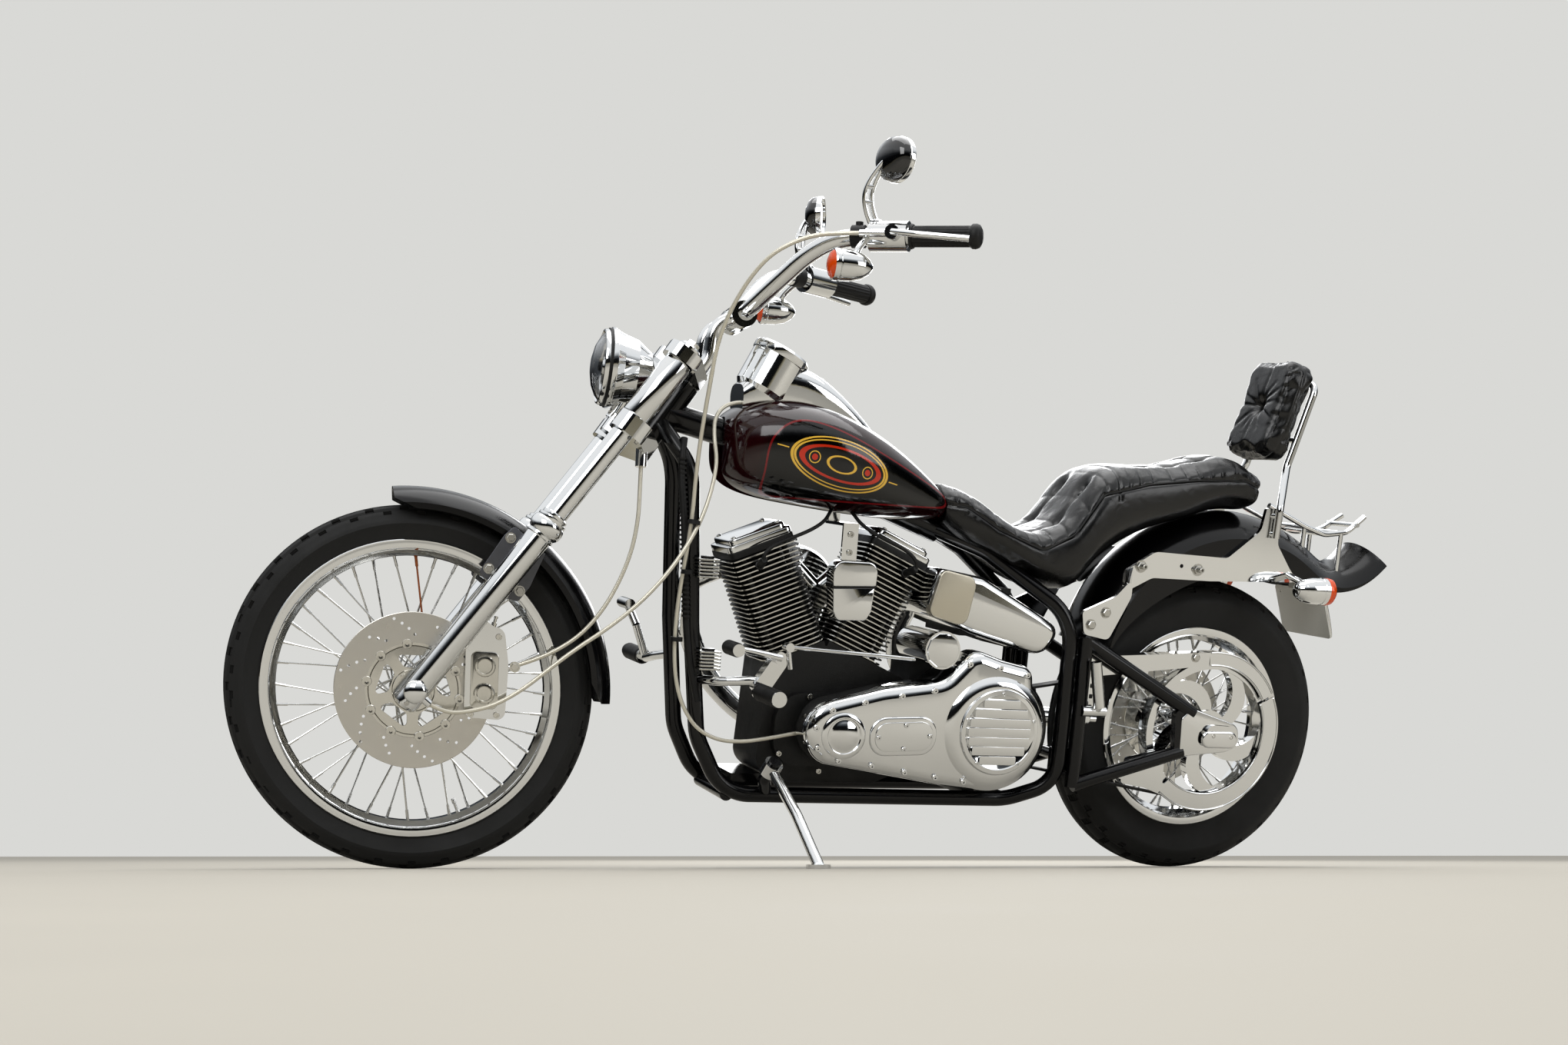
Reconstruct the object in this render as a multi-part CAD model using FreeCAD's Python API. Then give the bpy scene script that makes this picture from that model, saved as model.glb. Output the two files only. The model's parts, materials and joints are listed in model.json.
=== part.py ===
import FreeCAD, Part

# A long-fork custom motorcycle with a V-twin engine, parked on its side stand.
# Every piece is drawn on the upright machine first: X runs rearwards from the middle of the
# wheelbase, Y to the rider's right, Z up from the ground. At the end the front end is turned by the
# parked steering angle and the whole machine leans to its left until both tyres and the stand's foot
# rest on the ground. Lengths are millimetres.

import functools
import json
import math
import os

V = FreeCAD.Vector

# Stance
WHEELBASE = 1690.0
LEAN_DEG = 12.0
STEER_DEG = -8.5
STEER_LOCK_DEG = 28.0
RAKE_DEG = 34.0
FORK_DEG = 36.5
GROUND_GAP = 150.0

# Wheels
FRONT_TYRE_R = 345.0
FRONT_TYRE_HALF = 45.0
FRONT_RIM_R = 280.5
FRONT_RIM_HALF = 35.0
REAR_TYRE_R = 320.0
REAR_TYRE_HALF = 65.0
REAR_RIM_R = 217.0
REAR_RIM_HALF = 47.0
RIM_LIP = 4.0
RIM_BED = 15.0
RIM_WELL = 11.0
SPOKES = 40
SPOKE_R = 2.2
HUB_FLANGE_R = 40.0
HUB_BARREL_R = 26.0
FRONT_HUB_HALF = 58.0
REAR_HUB_HALF = 76.0
AXLE_R = 12.5
SLIDE = 0.05
SEAT_GAP = 0.3

# Brakes and belt drive
DISC_R = 146.0
DISC_INNER_R = 88.0
DISC_THICK = 5.0
CARRIER_R = 96.0
CARRIER_THICK = 6.0
DISC_SLOT = 6.0
PULLEY_R = 150.0
PULLEY_WIDTH = 34.0
SPROCKET_R = 60.0
BELT_WIDTH = 28.0
BELT_THICK = 5.0
GUARD_OUTER_R = 172.0
GUARD_INNER_R = 134.0

# Fork and steering
LEG_SPACING = 230.0
SLIDER_R = 25.0
SLIDER_LENGTH = 388.0
SLIDER_FOOT = 36.0
FORK_TUBE_R = 20.5
FORK_LENGTH = 815.0
CLAMP_LOWER_AT = 635.0
CLAMP_UPPER_AT = 800.0
STEM_OFFSET = 50.0
STEM_R = 13.0
NECK_R = 24.0
LAMP_R = 73.0
BAR_R = 15.9
GRIP_R = 18.5
GRIP_LENGTH = 125.0

# Frame tubes
TUBE_R = 16.0
BACKBONE_R = 26.0
RAIL_Y = 100.0
POST_X = 478.0
POST_Y = 132.0
ARM_Y = 140.0
ARM_X = 511.0
ARM_TUBE_R = 15.0

# Engine
CRANK_X = -35.0
CRANK_Z = 300.0
VEE_DEG = 45.0
FIN_HALF = 68.0
FIN_DEPTH = 70.0
FIN_THICK = 4.5
FIN_PITCH = 15.5
BARREL_FROM = 165.0
BARREL_TO = 335.0
HEAD_TO = 378.0
CASE_HALF = 88.0
PRIMARY_IN_Y = -118.0
PRIMARY_OUT_Y = -182.0
CLUTCH_X = 305.0
CLUTCH_Z = 318.0
CLUTCH_COVER_R = 88.0

# Bodywork
FENDER_WALL = 2.5
FRONT_FENDER_GAP = 33.0
FRONT_FENDER_FROM = -2.0
FRONT_FENDER_TO = 97.0
FRONT_FENDER_HALF = 60.0
REAR_FENDER_R = 360.0
REAR_FENDER_HALF = 100.0
TANK_HALF = 150.0
SEAT_HALF = 140.0

FRONT_X = -WHEELBASE / 2
REAR_X = WHEELBASE / 2
X_AXIS = V(1, 0, 0)
Y_AXIS = V(0, 1, 0)
Z_AXIS = V(0, 0, 1)


def sin(degrees):
    return math.sin(math.radians(degrees))


def cos(degrees):
    return math.cos(math.radians(degrees))


def unit(vector):
    return vector / vector.Length


FORK_DIR = V(sin(FORK_DEG), 0, cos(FORK_DEG))
FORK_AHEAD = V(-cos(FORK_DEG), 0, sin(FORK_DEG))
STEM_DIR = V(sin(RAKE_DEG), 0, cos(RAKE_DEG))
STEM_AHEAD = V(-cos(RAKE_DEG), 0, sin(RAKE_DEG))
FRONT_AXLE = V(FRONT_X, 0, FRONT_TYRE_R)
REAR_AXLE = V(REAR_X, 0, REAR_TYRE_R)


def on_fork(along, side, ahead=0.0):
    """A point on the fork: along the leg from the axle, to the side, and ahead of the leg."""
    return FRONT_AXLE + FORK_DIR * along + Y_AXIS * side + FORK_AHEAD * ahead


STEM_POINT = on_fork((CLAMP_LOWER_AT + CLAMP_UPPER_AT) / 2, 0, -STEM_OFFSET)


def on_stem(along, side=0.0, ahead=0.0):
    """A point on the steering axis, measured from the middle of the neck."""
    return STEM_POINT + STEM_DIR * along + Y_AXIS * side + STEM_AHEAD * ahead


def stem_station(point):
    """How far along the steering axis a point lies."""
    return (point - STEM_POINT).dot(STEM_DIR)


def corner_arc(before, corner, after, radius):
    """Ends and middle of the arc that rounds one corner, as large as asked or as its runs allow."""
    run_in = corner - before
    run_out = after - corner
    half_turn = run_in.getAngle(run_out) / 2
    reach = 0.45 * min(run_in.Length, run_out.Length)
    if radius is not None:
        reach = min(reach, radius * math.tan(half_turn))
    used = reach / math.tan(half_turn)
    inwards = unit(unit(run_out) - unit(run_in))
    start = corner - unit(run_in) * reach
    end = corner + unit(run_out) * reach
    middle = corner + inwards * (used / math.cos(half_turn) - used)
    return start, middle, end, used


def route(points, radius=None, radii=None):
    """An open wire of straight runs joined by tangent arcs."""
    points = [V(*p) for p in points]
    edges = []
    start = points[0]
    for before, corner, after in zip(points, points[1:], points[2:]):
        first, middle, last, used = corner_arc(before, corner, after, radius)
        edges.append(Part.LineSegment(start, first).toShape())
        edges.append(Part.Arc(first, middle, last).toShape())
        start = last
        if radii is not None:
            radii.append(used)
    edges.append(Part.LineSegment(start, points[-1]).toShape())
    return Part.Wire(edges)


def pipe(points, radius, bend=None):
    """A round bar along a route."""
    wire = route(points, bend)
    first = V(*points[0])
    ring = Part.Wire(Part.makeCircle(radius, first, V(*points[1]) - first))
    return wire.makePipeShell([ring], True, False)


def rod(start, end, radius):
    """A round bar between two points."""
    start = V(*start)
    run = V(*end) - start
    return Part.makeCylinder(radius, run.Length, start, run)


def turned(profile, centre, axis):
    """A solid of revolution from points (radius, distance along the axis)."""
    points = [V(r, 0, a) for r, a in profile]
    face = Part.Face(Part.makePolygon(points + points[:1]))
    solid = face.revolve(V(0, 0, 0), Z_AXIS, 360)
    solid.Placement = FreeCAD.Placement(V(*centre), FreeCAD.Rotation(Z_AXIS, V(*axis)))
    return solid


def rounded_face(outline, corner, place):
    """A face from outline points (a, b) or (a, b, own corner radius), its corners rounded."""
    points = [place(p[0], p[1]) for p in outline]
    radii = [p[2] if len(p) > 2 else corner for p in outline]
    arcs = []
    for i, radius in enumerate(radii):
        if radius:
            arcs.append(corner_arc(points[i - 1], points[i], points[(i + 1) % len(points)], radius)[:3])
        else:
            arcs.append((points[i], None, points[i]))
    edges = []
    for i, (first, middle, last) in enumerate(arcs):
        previous = arcs[i - 1][2]
        edges.append(Part.LineSegment(previous, first).toShape())
        if middle is not None:
            edges.append(Part.Arc(first, middle, last).toShape())
    return Part.Face(Part.Wire(edges))


def plate(outline, origin, u, v, thick, corner=0.0):
    """A flat plate: an outline drawn on the plane of u and v, made thick along their normal."""
    origin = V(*origin)
    face = rounded_face(outline, corner, lambda a, b: origin + u * a + v * b)
    return face.extrude(u.cross(v) * thick)


def slab(outline, y_from, y_to, corner=0.0):
    """A plate that stands lengthwise in the machine: an (x, z) outline between two side distances."""
    return plate(outline, V(0, y_from, 0), X_AXIS, Z_AXIS, y_from - y_to, corner)


def box(x0, x1, y0, y1, z0, z1):
    """An upright block."""
    return Part.makeBox(x1 - x0, y1 - y0, z1 - z0, V(x0, y0, z0))


def mirrored(shape):
    """The same shape on the other side of the machine."""
    return shape.mirror(V(0, 0, 0), Y_AXIS)


def joined(*shapes):
    """Several touching shapes as one solid."""
    return shapes[0].multiFuse(list(shapes[1:])).removeSplitter()


def largest(shape):
    """The largest solid of what a cut leaves."""
    return max(shape.Solids, key=lambda solid: solid.Volume)


def group(*shapes):
    """Like pieces that don't touch, kept apart in one file."""
    return Part.makeCompound([solid for shape in shapes for solid in shape.Solids])


def oval(x, half_width, low, high, squareness, points=16, centre_y=0.0):
    """A closed smooth cross-section: a rounded rectangle as squareness rises above 2."""
    middle = (low + high) / 2
    half_height = (high - low) / 2
    ring = []
    for i in range(points):
        turn = 360.0 * i / points
        c = cos(turn)
        s = sin(turn)
        y = half_width * math.copysign(abs(c) ** (2 / squareness), c)
        z = half_height * math.copysign(abs(s) ** (2 / squareness), s)
        ring.append(V(x, centre_y + y, middle + z))
    curve = Part.BSplineCurve()
    curve.interpolate(ring, PeriodicFlag=True)
    return Part.Wire(curve.toShape())


def ring_sector(centre, inner, outer, from_deg, to_deg, y_from, y_to):
    """Part of a flat ring round a point, its angles counted from the rear over the top."""
    face_wires = []
    x0, z0 = centre

    def at(radius, degrees):
        return V(x0 + radius * cos(degrees), y_from, z0 + radius * sin(degrees))

    middle = (from_deg + to_deg) / 2
    face_wires.append(Part.Arc(at(outer, from_deg), at(outer, middle), at(outer, to_deg)).toShape())
    face_wires.append(Part.LineSegment(at(outer, to_deg), at(inner, to_deg)).toShape())
    face_wires.append(Part.Arc(at(inner, to_deg), at(inner, middle), at(inner, from_deg)).toShape())
    face_wires.append(Part.LineSegment(at(inner, from_deg), at(outer, from_deg)).toShape())
    return Part.Face(Part.Wire(face_wires)).extrude(V(0, y_to - y_from, 0))


# Wheels

def tyre(centre, radius, half, rim_r, rim_half):
    """A round-section tyre whose beads sit on the rim's bed between its lips."""
    ring_r = radius - half
    bead_half = rim_half - RIM_LIP - SEAT_GAP
    bed = rim_r - RIM_BED + SEAT_GAP
    over = rim_r + SEAT_GAP
    side = math.sqrt(half ** 2 - (over - ring_r) ** 2)
    points = [V(bed, 0, -bead_half), V(over, 0, -bead_half), V(over, 0, -side),
              V(radius, 0, 0), V(over, 0, side), V(over, 0, bead_half), V(bed, 0, bead_half)]
    edges = [Part.LineSegment(points[0], points[1]).toShape(),
             Part.LineSegment(points[1], points[2]).toShape(),
             Part.Arc(points[2], V(ring_r + half * cos(45), 0, -half * sin(45)), points[3]).toShape(),
             Part.Arc(points[3], V(ring_r + half * cos(45), 0, half * sin(45)), points[4]).toShape(),
             Part.LineSegment(points[4], points[5]).toShape(),
             Part.LineSegment(points[5], points[6]).toShape(),
             Part.LineSegment(points[6], points[0]).toShape()]
    solid = Part.Face(Part.Wire(edges)).revolve(V(0, 0, 0), Z_AXIS, 360)
    solid.Placement = FreeCAD.Placement(centre, FreeCAD.Rotation(Z_AXIS, Y_AXIS))
    return solid


def spoke(centre, number, rim_r, hub_half):
    """One laced wire: from the hub's flange, well round to one side, out to the rim's well."""
    side = 1 if number % 2 else -1
    lead = 58.0 if number % 4 < 2 else -58.0
    rim_turn = 360.0 * number / SPOKES
    hub_turn = rim_turn + lead
    hub_r = HUB_FLANGE_R - 4
    well_r = rim_r - RIM_BED - RIM_WELL
    inner = centre + V(hub_r * cos(hub_turn), side * (hub_half - 3), hub_r * sin(hub_turn))
    outer = centre + V(well_r * cos(rim_turn), side * 7, well_r * sin(rim_turn))
    run = outer - inner
    across = unit(run.cross(Y_AXIS)) * SPOKE_R
    over = unit(run.cross(across)) * SPOKE_R
    ring = [inner + across, inner + over, inner - across, inner - over]
    return Part.Face(Part.makePolygon(ring + ring[:1])).extrude(run)


def spoked_rim(centre, rim_r, rim_half, hub_half, left_end, right_end):
    """Chromed rim, forty laced spokes and hub in one piece, bored for the axle."""
    bed = rim_r - RIM_BED
    well = bed - RIM_WELL
    wall = 4.0
    hoop = turned([(rim_r, -rim_half), (rim_r, RIM_LIP - rim_half), (bed, RIM_LIP - rim_half),
                   (bed, rim_half - RIM_LIP), (rim_r, rim_half - RIM_LIP), (rim_r, rim_half),
                   (bed - wall, rim_half), (well - wall, 16), (well - wall, -16), (bed - wall, -rim_half)],
                  centre, Y_AXIS)
    bore = AXLE_R + SLIDE
    flange_in = hub_half - 6
    hub = turned([(bore, left_end), (HUB_FLANGE_R, left_end), (HUB_FLANGE_R, left_end + 6),
                  (HUB_BARREL_R, left_end + 9), (HUB_BARREL_R, -hub_half), (HUB_FLANGE_R, -hub_half),
                  (HUB_FLANGE_R, -flange_in), (HUB_BARREL_R, 3 - flange_in), (HUB_BARREL_R, flange_in - 3),
                  (HUB_FLANGE_R, flange_in), (HUB_FLANGE_R, hub_half), (HUB_BARREL_R, hub_half),
                  (HUB_BARREL_R, right_end - 9), (HUB_FLANGE_R, right_end - 6), (HUB_FLANGE_R, right_end),
                  (bore, right_end)], centre, Y_AXIS)
    wires = [spoke(centre, n, rim_r, hub_half) for n in range(SPOKES)]
    return hoop.multiFuse([hub] + wires)


def brake_disc(centre, inner_y, sign):
    """A brake disc on its windowed carrier; sign is the side that it stands out to."""
    carrier = turned([(AXLE_R + 8, 0), (CARRIER_R, 0), (CARRIER_R, CARRIER_THICK), (AXLE_R + 8, CARRIER_THICK)],
                     centre + V(0, inner_y, 0), V(0, sign, 0))
    ring = turned([(DISC_INNER_R, CARRIER_THICK), (DISC_R, CARRIER_THICK),
                   (DISC_R, CARRIER_THICK + DISC_THICK), (DISC_INNER_R, CARRIER_THICK + DISC_THICK)],
                  centre + V(0, inner_y, 0), V(0, sign, 0))
    windows = []
    for n in range(5):
        turn = 72.0 * n + 18
        at = centre + V(66 * cos(turn), inner_y, 66 * sin(turn))
        windows.append(Part.makeCylinder(14, CARRIER_THICK, at, V(0, sign, 0)))
    return joined(carrier, ring).cut(Part.makeCompound(windows))


FRONT_DISC_Y = -FRONT_HUB_HALF
REAR_DISC_Y = REAR_HUB_HALF
PULLEY_Y = -REAR_HUB_HALF


def pulley():
    """Belt pulley with five swirled spokes."""
    outer_y = PULLEY_Y - PULLEY_WIDTH
    rim = turned([(PULLEY_R - 16, 0), (PULLEY_R, 0), (PULLEY_R, PULLEY_WIDTH), (PULLEY_R - 16, PULLEY_WIDTH)],
                 REAR_AXLE + V(0, outer_y, 0), Y_AXIS)
    hub = turned([(AXLE_R + 8, 0), (46, 0), (46, PULLEY_WIDTH), (AXLE_R + 8, PULLEY_WIDTH)],
                 REAR_AXLE + V(0, outer_y, 0), Y_AXIS)
    arms = []
    for n in range(5):
        turn = 72.0 * n + 25

        def at(radius, degrees, base=turn):
            return V(REAR_X + radius * cos(base + degrees), outer_y + 4, REAR_AXLE.z + radius * sin(base + degrees))

        reach = PULLEY_R - 14
        edges = [Part.Arc(at(44, -16), at(90, 2), at(reach, 34)).toShape(),
                 Part.LineSegment(at(reach, 34), at(reach, 52)).toShape(),
                 Part.Arc(at(reach, 52), at(90, 28), at(44, 16)).toShape(),
                 Part.LineSegment(at(44, 16), at(44, -16)).toShape()]
        arms.append(Part.Face(Part.Wire(edges)).extrude(V(0, PULLEY_WIDTH - 12, 0)))
    return rim.multiFuse([hub] + arms)


def drive_belt():
    """The belt as one closed band round the gearbox sprocket and the wheel's pulley."""
    inner_y = PULLEY_Y - (PULLEY_WIDTH - BELT_WIDTH) / 2
    small = V(CLUTCH_X, inner_y, CLUTCH_Z)
    large = V(REAR_X, inner_y, REAR_AXLE.z)
    run = large - small
    lean = math.degrees(math.asin((PULLEY_R - SPROCKET_R) / run.Length))
    base = math.degrees(math.atan2(run.z, run.x))

    def band(extra):
        r1 = SPROCKET_R + extra
        r2 = PULLEY_R + extra
        top = base + 90 + lean
        low = base - 90 - lean

        def at(c, radius, degrees):
            return c + V(radius * cos(degrees), 0, radius * sin(degrees))

        edges = [Part.Arc(at(small, r1, top), at(small, r1, base + 180), at(small, r1, low)).toShape(),
                 Part.LineSegment(at(small, r1, low), at(large, r2, low)).toShape(),
                 Part.Arc(at(large, r2, low), at(large, r2, base), at(large, r2, top)).toShape(),
                 Part.LineSegment(at(large, r2, top), at(small, r1, top)).toShape()]
        return Part.Face(Part.Wire(edges)).extrude(V(0, -BELT_WIDTH, 0))

    return band(SEAT_GAP + BELT_THICK).cut(band(SEAT_GAP))


# Frame and rear arm

@functools.lru_cache(None)
def frame():
    """Welded double cradle: neck, backbone, and on each side one bent tube from neck to seat."""
    neck_low = stem_station(on_fork(CLAMP_LOWER_AT, 0)) + 20
    neck_high = stem_station(on_fork(CLAMP_UPPER_AT, 0)) - 15
    neck = rod(on_stem(neck_low), on_stem(neck_high), NECK_R)
    bore = rod(on_stem(neck_low - 1), on_stem(neck_high + 1), STEM_R + SLIDE)
    backbone = pipe([on_stem(0), V(-240, 0, 862), V(215, 0, 706)], BACKBONE_R, 200)
    rail_z = GROUND_GAP + TUBE_R
    side = pipe([on_stem(neck_low + 38, 12), V(-338, 58, 796), V(-322, 70, 500), V(-298, 76, 280),
                 V(-240, 84, rail_z), V(380, RAIL_Y, rail_z), V(POST_X, POST_Y, rail_z + 40),
                 V(POST_X, POST_Y, 552), V(300, 62, 672), V(205, 10, 708)], TUBE_R, 110)
    front_cross = rod(V(-230, -84, rail_z), V(-230, 84, rail_z), TUBE_R - 2)
    rear_cross = rod(V(376, -RAIL_Y, rail_z), V(376, RAIL_Y, rail_z), TUBE_R - 2)
    front_mount = box(-215, -150, -60, 60, rail_z + 14, 204)
    mount_bar = rod(V(-190, -84, rail_z + 2), V(-190, 84, rail_z + 2), TUBE_R)
    pivot_hole = rod(V(PIVOT_X, -200, PIVOT_Z), V(PIVOT_X, 200, PIVOT_Z), PIVOT_R + SLIDE)
    lug = [(POST_X - 12, PIVOT_Z - 26, 4), (PIVOT_X + 20, PIVOT_Z - 20, 20), (PIVOT_X + 20, PIVOT_Z + 20, 20),
           (POST_X - 12, PIVOT_Z + 26, 4)]
    bosses = [slab(lug, s * (POST_Y - 22), s * (POST_Y - 10)) for s in (-1, 1)]
    solid = joined(neck, backbone, side, mirrored(side), front_cross, rear_cross, mount_bar,
                   front_mount, *bosses)
    return solid.cut(bore).cut(pivot_hole)


PIVOT_X = ARM_X
PIVOT_Z = 255.0
PIVOT_R = 12.0


@functools.lru_cache(None)
def rear_arm():
    """Triangulated rear arm: on each side two tubes that meet at the axle plate, and the pivot tube."""
    sides = []
    for s in (-1, 1):
        y = s * ARM_Y
        upright = rod(V(ARM_X, y, 512), V(ARM_X, y, 200), ARM_TUBE_R)
        upper = rod(V(ARM_X, y, 505), V(REAR_X - 62, y, REAR_AXLE.z + 42), ARM_TUBE_R)
        lower = rod(V(ARM_X, y, 204), V(REAR_X - 80, y, REAR_AXLE.z - 40), ARM_TUBE_R)
        end = slab([(REAR_X - 100, 268, 10), (REAR_X - 108, 372, 10), (REAR_X - 40, 352, 14),
                    (REAR_X + 52, 326, 20), (REAR_X + 50, 292, 20), (REAR_X - 40, 280, 20)], y - 9, y + 9)
        sides += [upright, upper, lower, end]
    pivot = rod(V(PIVOT_X, -ARM_Y, PIVOT_Z), V(PIVOT_X, ARM_Y, PIVOT_Z), PIVOT_R)
    axle_hole = rod(V(REAR_X, -200, REAR_AXLE.z), V(REAR_X, 200, REAR_AXLE.z), AXLE_R + SLIDE)
    return joined(pivot, *sides).cut(axle_hole)


def rear_axle():
    """Rear axle with its spacers and the oval covers over its ends."""
    inner = REAR_HUB_HALF + PULLEY_WIDTH + 3
    shaft = rod(REAR_AXLE + V(0, -ARM_Y - 12, 0), REAR_AXLE + V(0, ARM_Y + 12, 0), AXLE_R)
    left = rod(REAR_AXLE + V(0, -inner, 0), REAR_AXLE + V(0, -ARM_Y + 9, 0), 19)
    right = rod(REAR_AXLE + V(0, REAR_HUB_HALF + CARRIER_THICK + 4, 0), REAR_AXLE + V(0, ARM_Y - 9, 0), 19)
    covers = []
    for s in (-1, 1):
        outline = [(REAR_X - 36, 298, 21), (REAR_X - 36, 342, 21), (REAR_X + 40, 338, 21), (REAR_X + 40, 294, 21)]
        covers.append(slab(outline, s * (ARM_Y + 9), s * (ARM_Y + 24)))
    return joined(shaft, left, right, *covers)


# Engine

def bank(sign):
    """Directions of one cylinder: up its bore, and across it in the machine's length."""
    half = VEE_DEG / 2
    up = V(sign * sin(half), 0, cos(half))
    across = V(cos(half), 0, -sign * sin(half))
    return up, across


CRANK = V(CRANK_X, 0, CRANK_Z)


def bank_plate(sign, at, thick, half_across, half_side, corner):
    """A rounded plate square to one cylinder's bore."""
    up, across = bank(sign)
    outline = [(-half_across, -half_side), (half_across, -half_side), (half_across, half_side),
               (-half_across, half_side)]
    return plate(outline, CRANK + up * at, across, Y_AXIS, thick, corner)


@functools.lru_cache(None)
def cylinder(sign):
    """A finned barrel and head: stacked thin plates on a narrower core."""
    up, across = bank(sign)
    core = Part.makeCylinder(FIN_HALF - 16, HEAD_TO - BARREL_FROM, CRANK + up * BARREL_FROM, up)
    fins = []
    count = int((BARREL_TO - BARREL_FROM) / FIN_PITCH)
    for n in range(count):
        fins.append(bank_plate(sign, BARREL_FROM + FIN_PITCH * (n + 0.5), FIN_THICK, FIN_HALF, FIN_DEPTH, 26))
    for n in range(3):
        at = BARREL_TO + (HEAD_TO - BARREL_TO) * n / 3
        fins.append(bank_plate(sign, at, FIN_THICK, FIN_HALF + 5, FIN_DEPTH + 3, 14))
    fins.append(bank_plate(sign, HEAD_TO - FIN_THICK, FIN_THICK, FIN_HALF + 5, FIN_DEPTH + 3, 14))
    return core.multiFuse(fins)


def rocker_boxes():
    """The stepped covers over both heads."""
    covers = []
    for sign in (-1, 1):
        layers = [bank_plate(sign, HEAD_TO, 14, 72, 66, 10),
                  bank_plate(sign, HEAD_TO + 14, 12, 67, 61, 10),
                  bank_plate(sign, HEAD_TO + 26, 12, 58, 55, 12)]
        covers.append(joined(*layers))
    return group(*covers)


@functools.lru_cache(None)
def crankcase():
    """The engine's lower half as one closed mass, with the cam chest on the right."""
    up, across = bank(-1)
    left = CRANK + up * BARREL_FROM - across * 62
    valley = CRANK + up * BARREL_FROM + across * 62
    outline = [(-168, 222, 40), (left.x, left.z, 4), (valley.x, valley.z, 2), (CRANK_X, valley.z - 14, 2),
               (2 * CRANK_X - valley.x, valley.z, 2), (2 * CRANK_X - left.x, left.z, 4), (150, 400, 20),
               (150, 214, 30), (90, 190, 20), (-130, 190, 30)]
    body = slab(outline, -CASE_HALF + 20, CASE_HALF - 12)
    left_side = slab([(-140, 226, 50), (-140, 372, 60), (76, 372, 60), (76, 226, 50)], -CASE_HALF, CASE_HALF - 14)
    cams = slab([(-150, 250, 40), (-120, 372, 40), (60, 380, 40), (96, 250, 40), (-30, 206, 60)],
                CASE_HALF - 14, CASE_HALF + 38)
    inner_primary = slab([(-92, 300, 50), (-60, 366, 30), (150, 392, 30), (190, 392, 30), (190, 222, 30),
                          (-60, 240, 40)], PRIMARY_IN_Y, -CASE_HALF)
    return joined(body, left_side, cams, inner_primary).cut(frame())


PRIMARY_OUTLINE = [(-112, 300, 70), (-88, 362, 60), (50, 398, 200), (186, 418, 60), (246, 482, 40),
                   (310, 462, 80), (380, 448, 30), (398, 318, 110), (330, 190, 110), (190, 204, 200),
                   (34, 228, 200), (-78, 244, 60)]


def primary_cover():
    """The long chromed cover over the primary drive, with its raised bosses."""
    shell = slab(PRIMARY_OUTLINE, PRIMARY_IN_Y, PRIMARY_OUT_Y + 14)
    crown = slab([(-100, 300, 62), (-78, 352, 52), (52, 386, 180), (190, 404, 60), (246, 466, 36),
                  (306, 450, 70), (370, 438, 26), (386, 318, 100), (326, 202, 100), (190, 216, 180),
                  (34, 240, 180), (-70, 254, 50)], PRIMARY_OUT_Y + 14, PRIMARY_OUT_Y)
    boss = Part.makeCylinder(46, 8, V(-30, PRIMARY_OUT_Y, 302), -Y_AXIS)
    hatch = slab([(22, 268, 34), (22, 344, 34), (156, 354, 36), (156, 272, 36)], PRIMARY_OUT_Y, PRIMARY_OUT_Y - 7)
    return joined(shell, crown, boss, hatch)


def clutch_cover():
    """Round ribbed cover over the clutch."""
    disc = turned([(0, 0), (CLUTCH_COVER_R, 0), (CLUTCH_COVER_R, 8), (CLUTCH_COVER_R - 6, 14), (0, 14)],
                  V(CLUTCH_X, PRIMARY_OUT_Y, CLUTCH_Z), -Y_AXIS)
    grooves = []
    for n in range(-3, 4):
        z = CLUTCH_Z + 19 * n
        half = math.sqrt((CLUTCH_COVER_R - 14) ** 2 - (19 * n) ** 2)
        grooves.append(box(CLUTCH_X - half, CLUTCH_X + half, PRIMARY_OUT_Y - 15, PRIMARY_OUT_Y - 12, z - 1.5, z + 1.5))
    return disc.cut(Part.makeCompound(grooves))


STARTER_R = 34.0


def gearbox():
    """Gearbox with its output shaft and belt sprocket, and the starter above the primary."""
    case = slab([(160, 222, 20), (160, 400, 20), (230, 448, 30), (420, 440, 30), (440, 240, 40), (400, 206, 30)],
                -66, 78)
    feet = box(220, 400, -60, 60, 2 * TUBE_R + GROUND_GAP + 6, 210)
    side = slab([(200, 250, 40), (210, 380, 40), (400, 380, 40), (410, 250, 40)], 78, 112)
    shaft = rod(V(CLUTCH_X, -66, CLUTCH_Z), V(CLUTCH_X, PRIMARY_IN_Y, CLUTCH_Z), 22)
    wheel = rod(V(CLUTCH_X, PULLEY_Y, CLUTCH_Z), V(CLUTCH_X, PULLEY_Y - PULLEY_WIDTH, CLUTCH_Z), SPROCKET_R)
    foot_bar = rod(V(300, -RAIL_Y + TUBE_R, GROUND_GAP + TUBE_R + 14), V(300, RAIL_Y - TUBE_R, GROUND_GAP + TUBE_R + 14), 14)
    nest = rod(V(176, -200, 476), V(176, 100, 476), STARTER_R + SEAT_GAP)
    saddle = box(156, 204, -60, 40, 396, 452).cut(nest)
    return joined(case, feet, side, shaft, wheel, foot_bar, saddle).cut(frame())


def starter():
    """Starter motor behind the rear cylinder, its chromed end showing on the left."""
    body = rod(V(176, -10, 476), V(176, -150, 476), STARTER_R)
    cap = rod(V(176, -150, 476), V(176, -166, 476), 38)
    return joined(body, cap)


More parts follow.
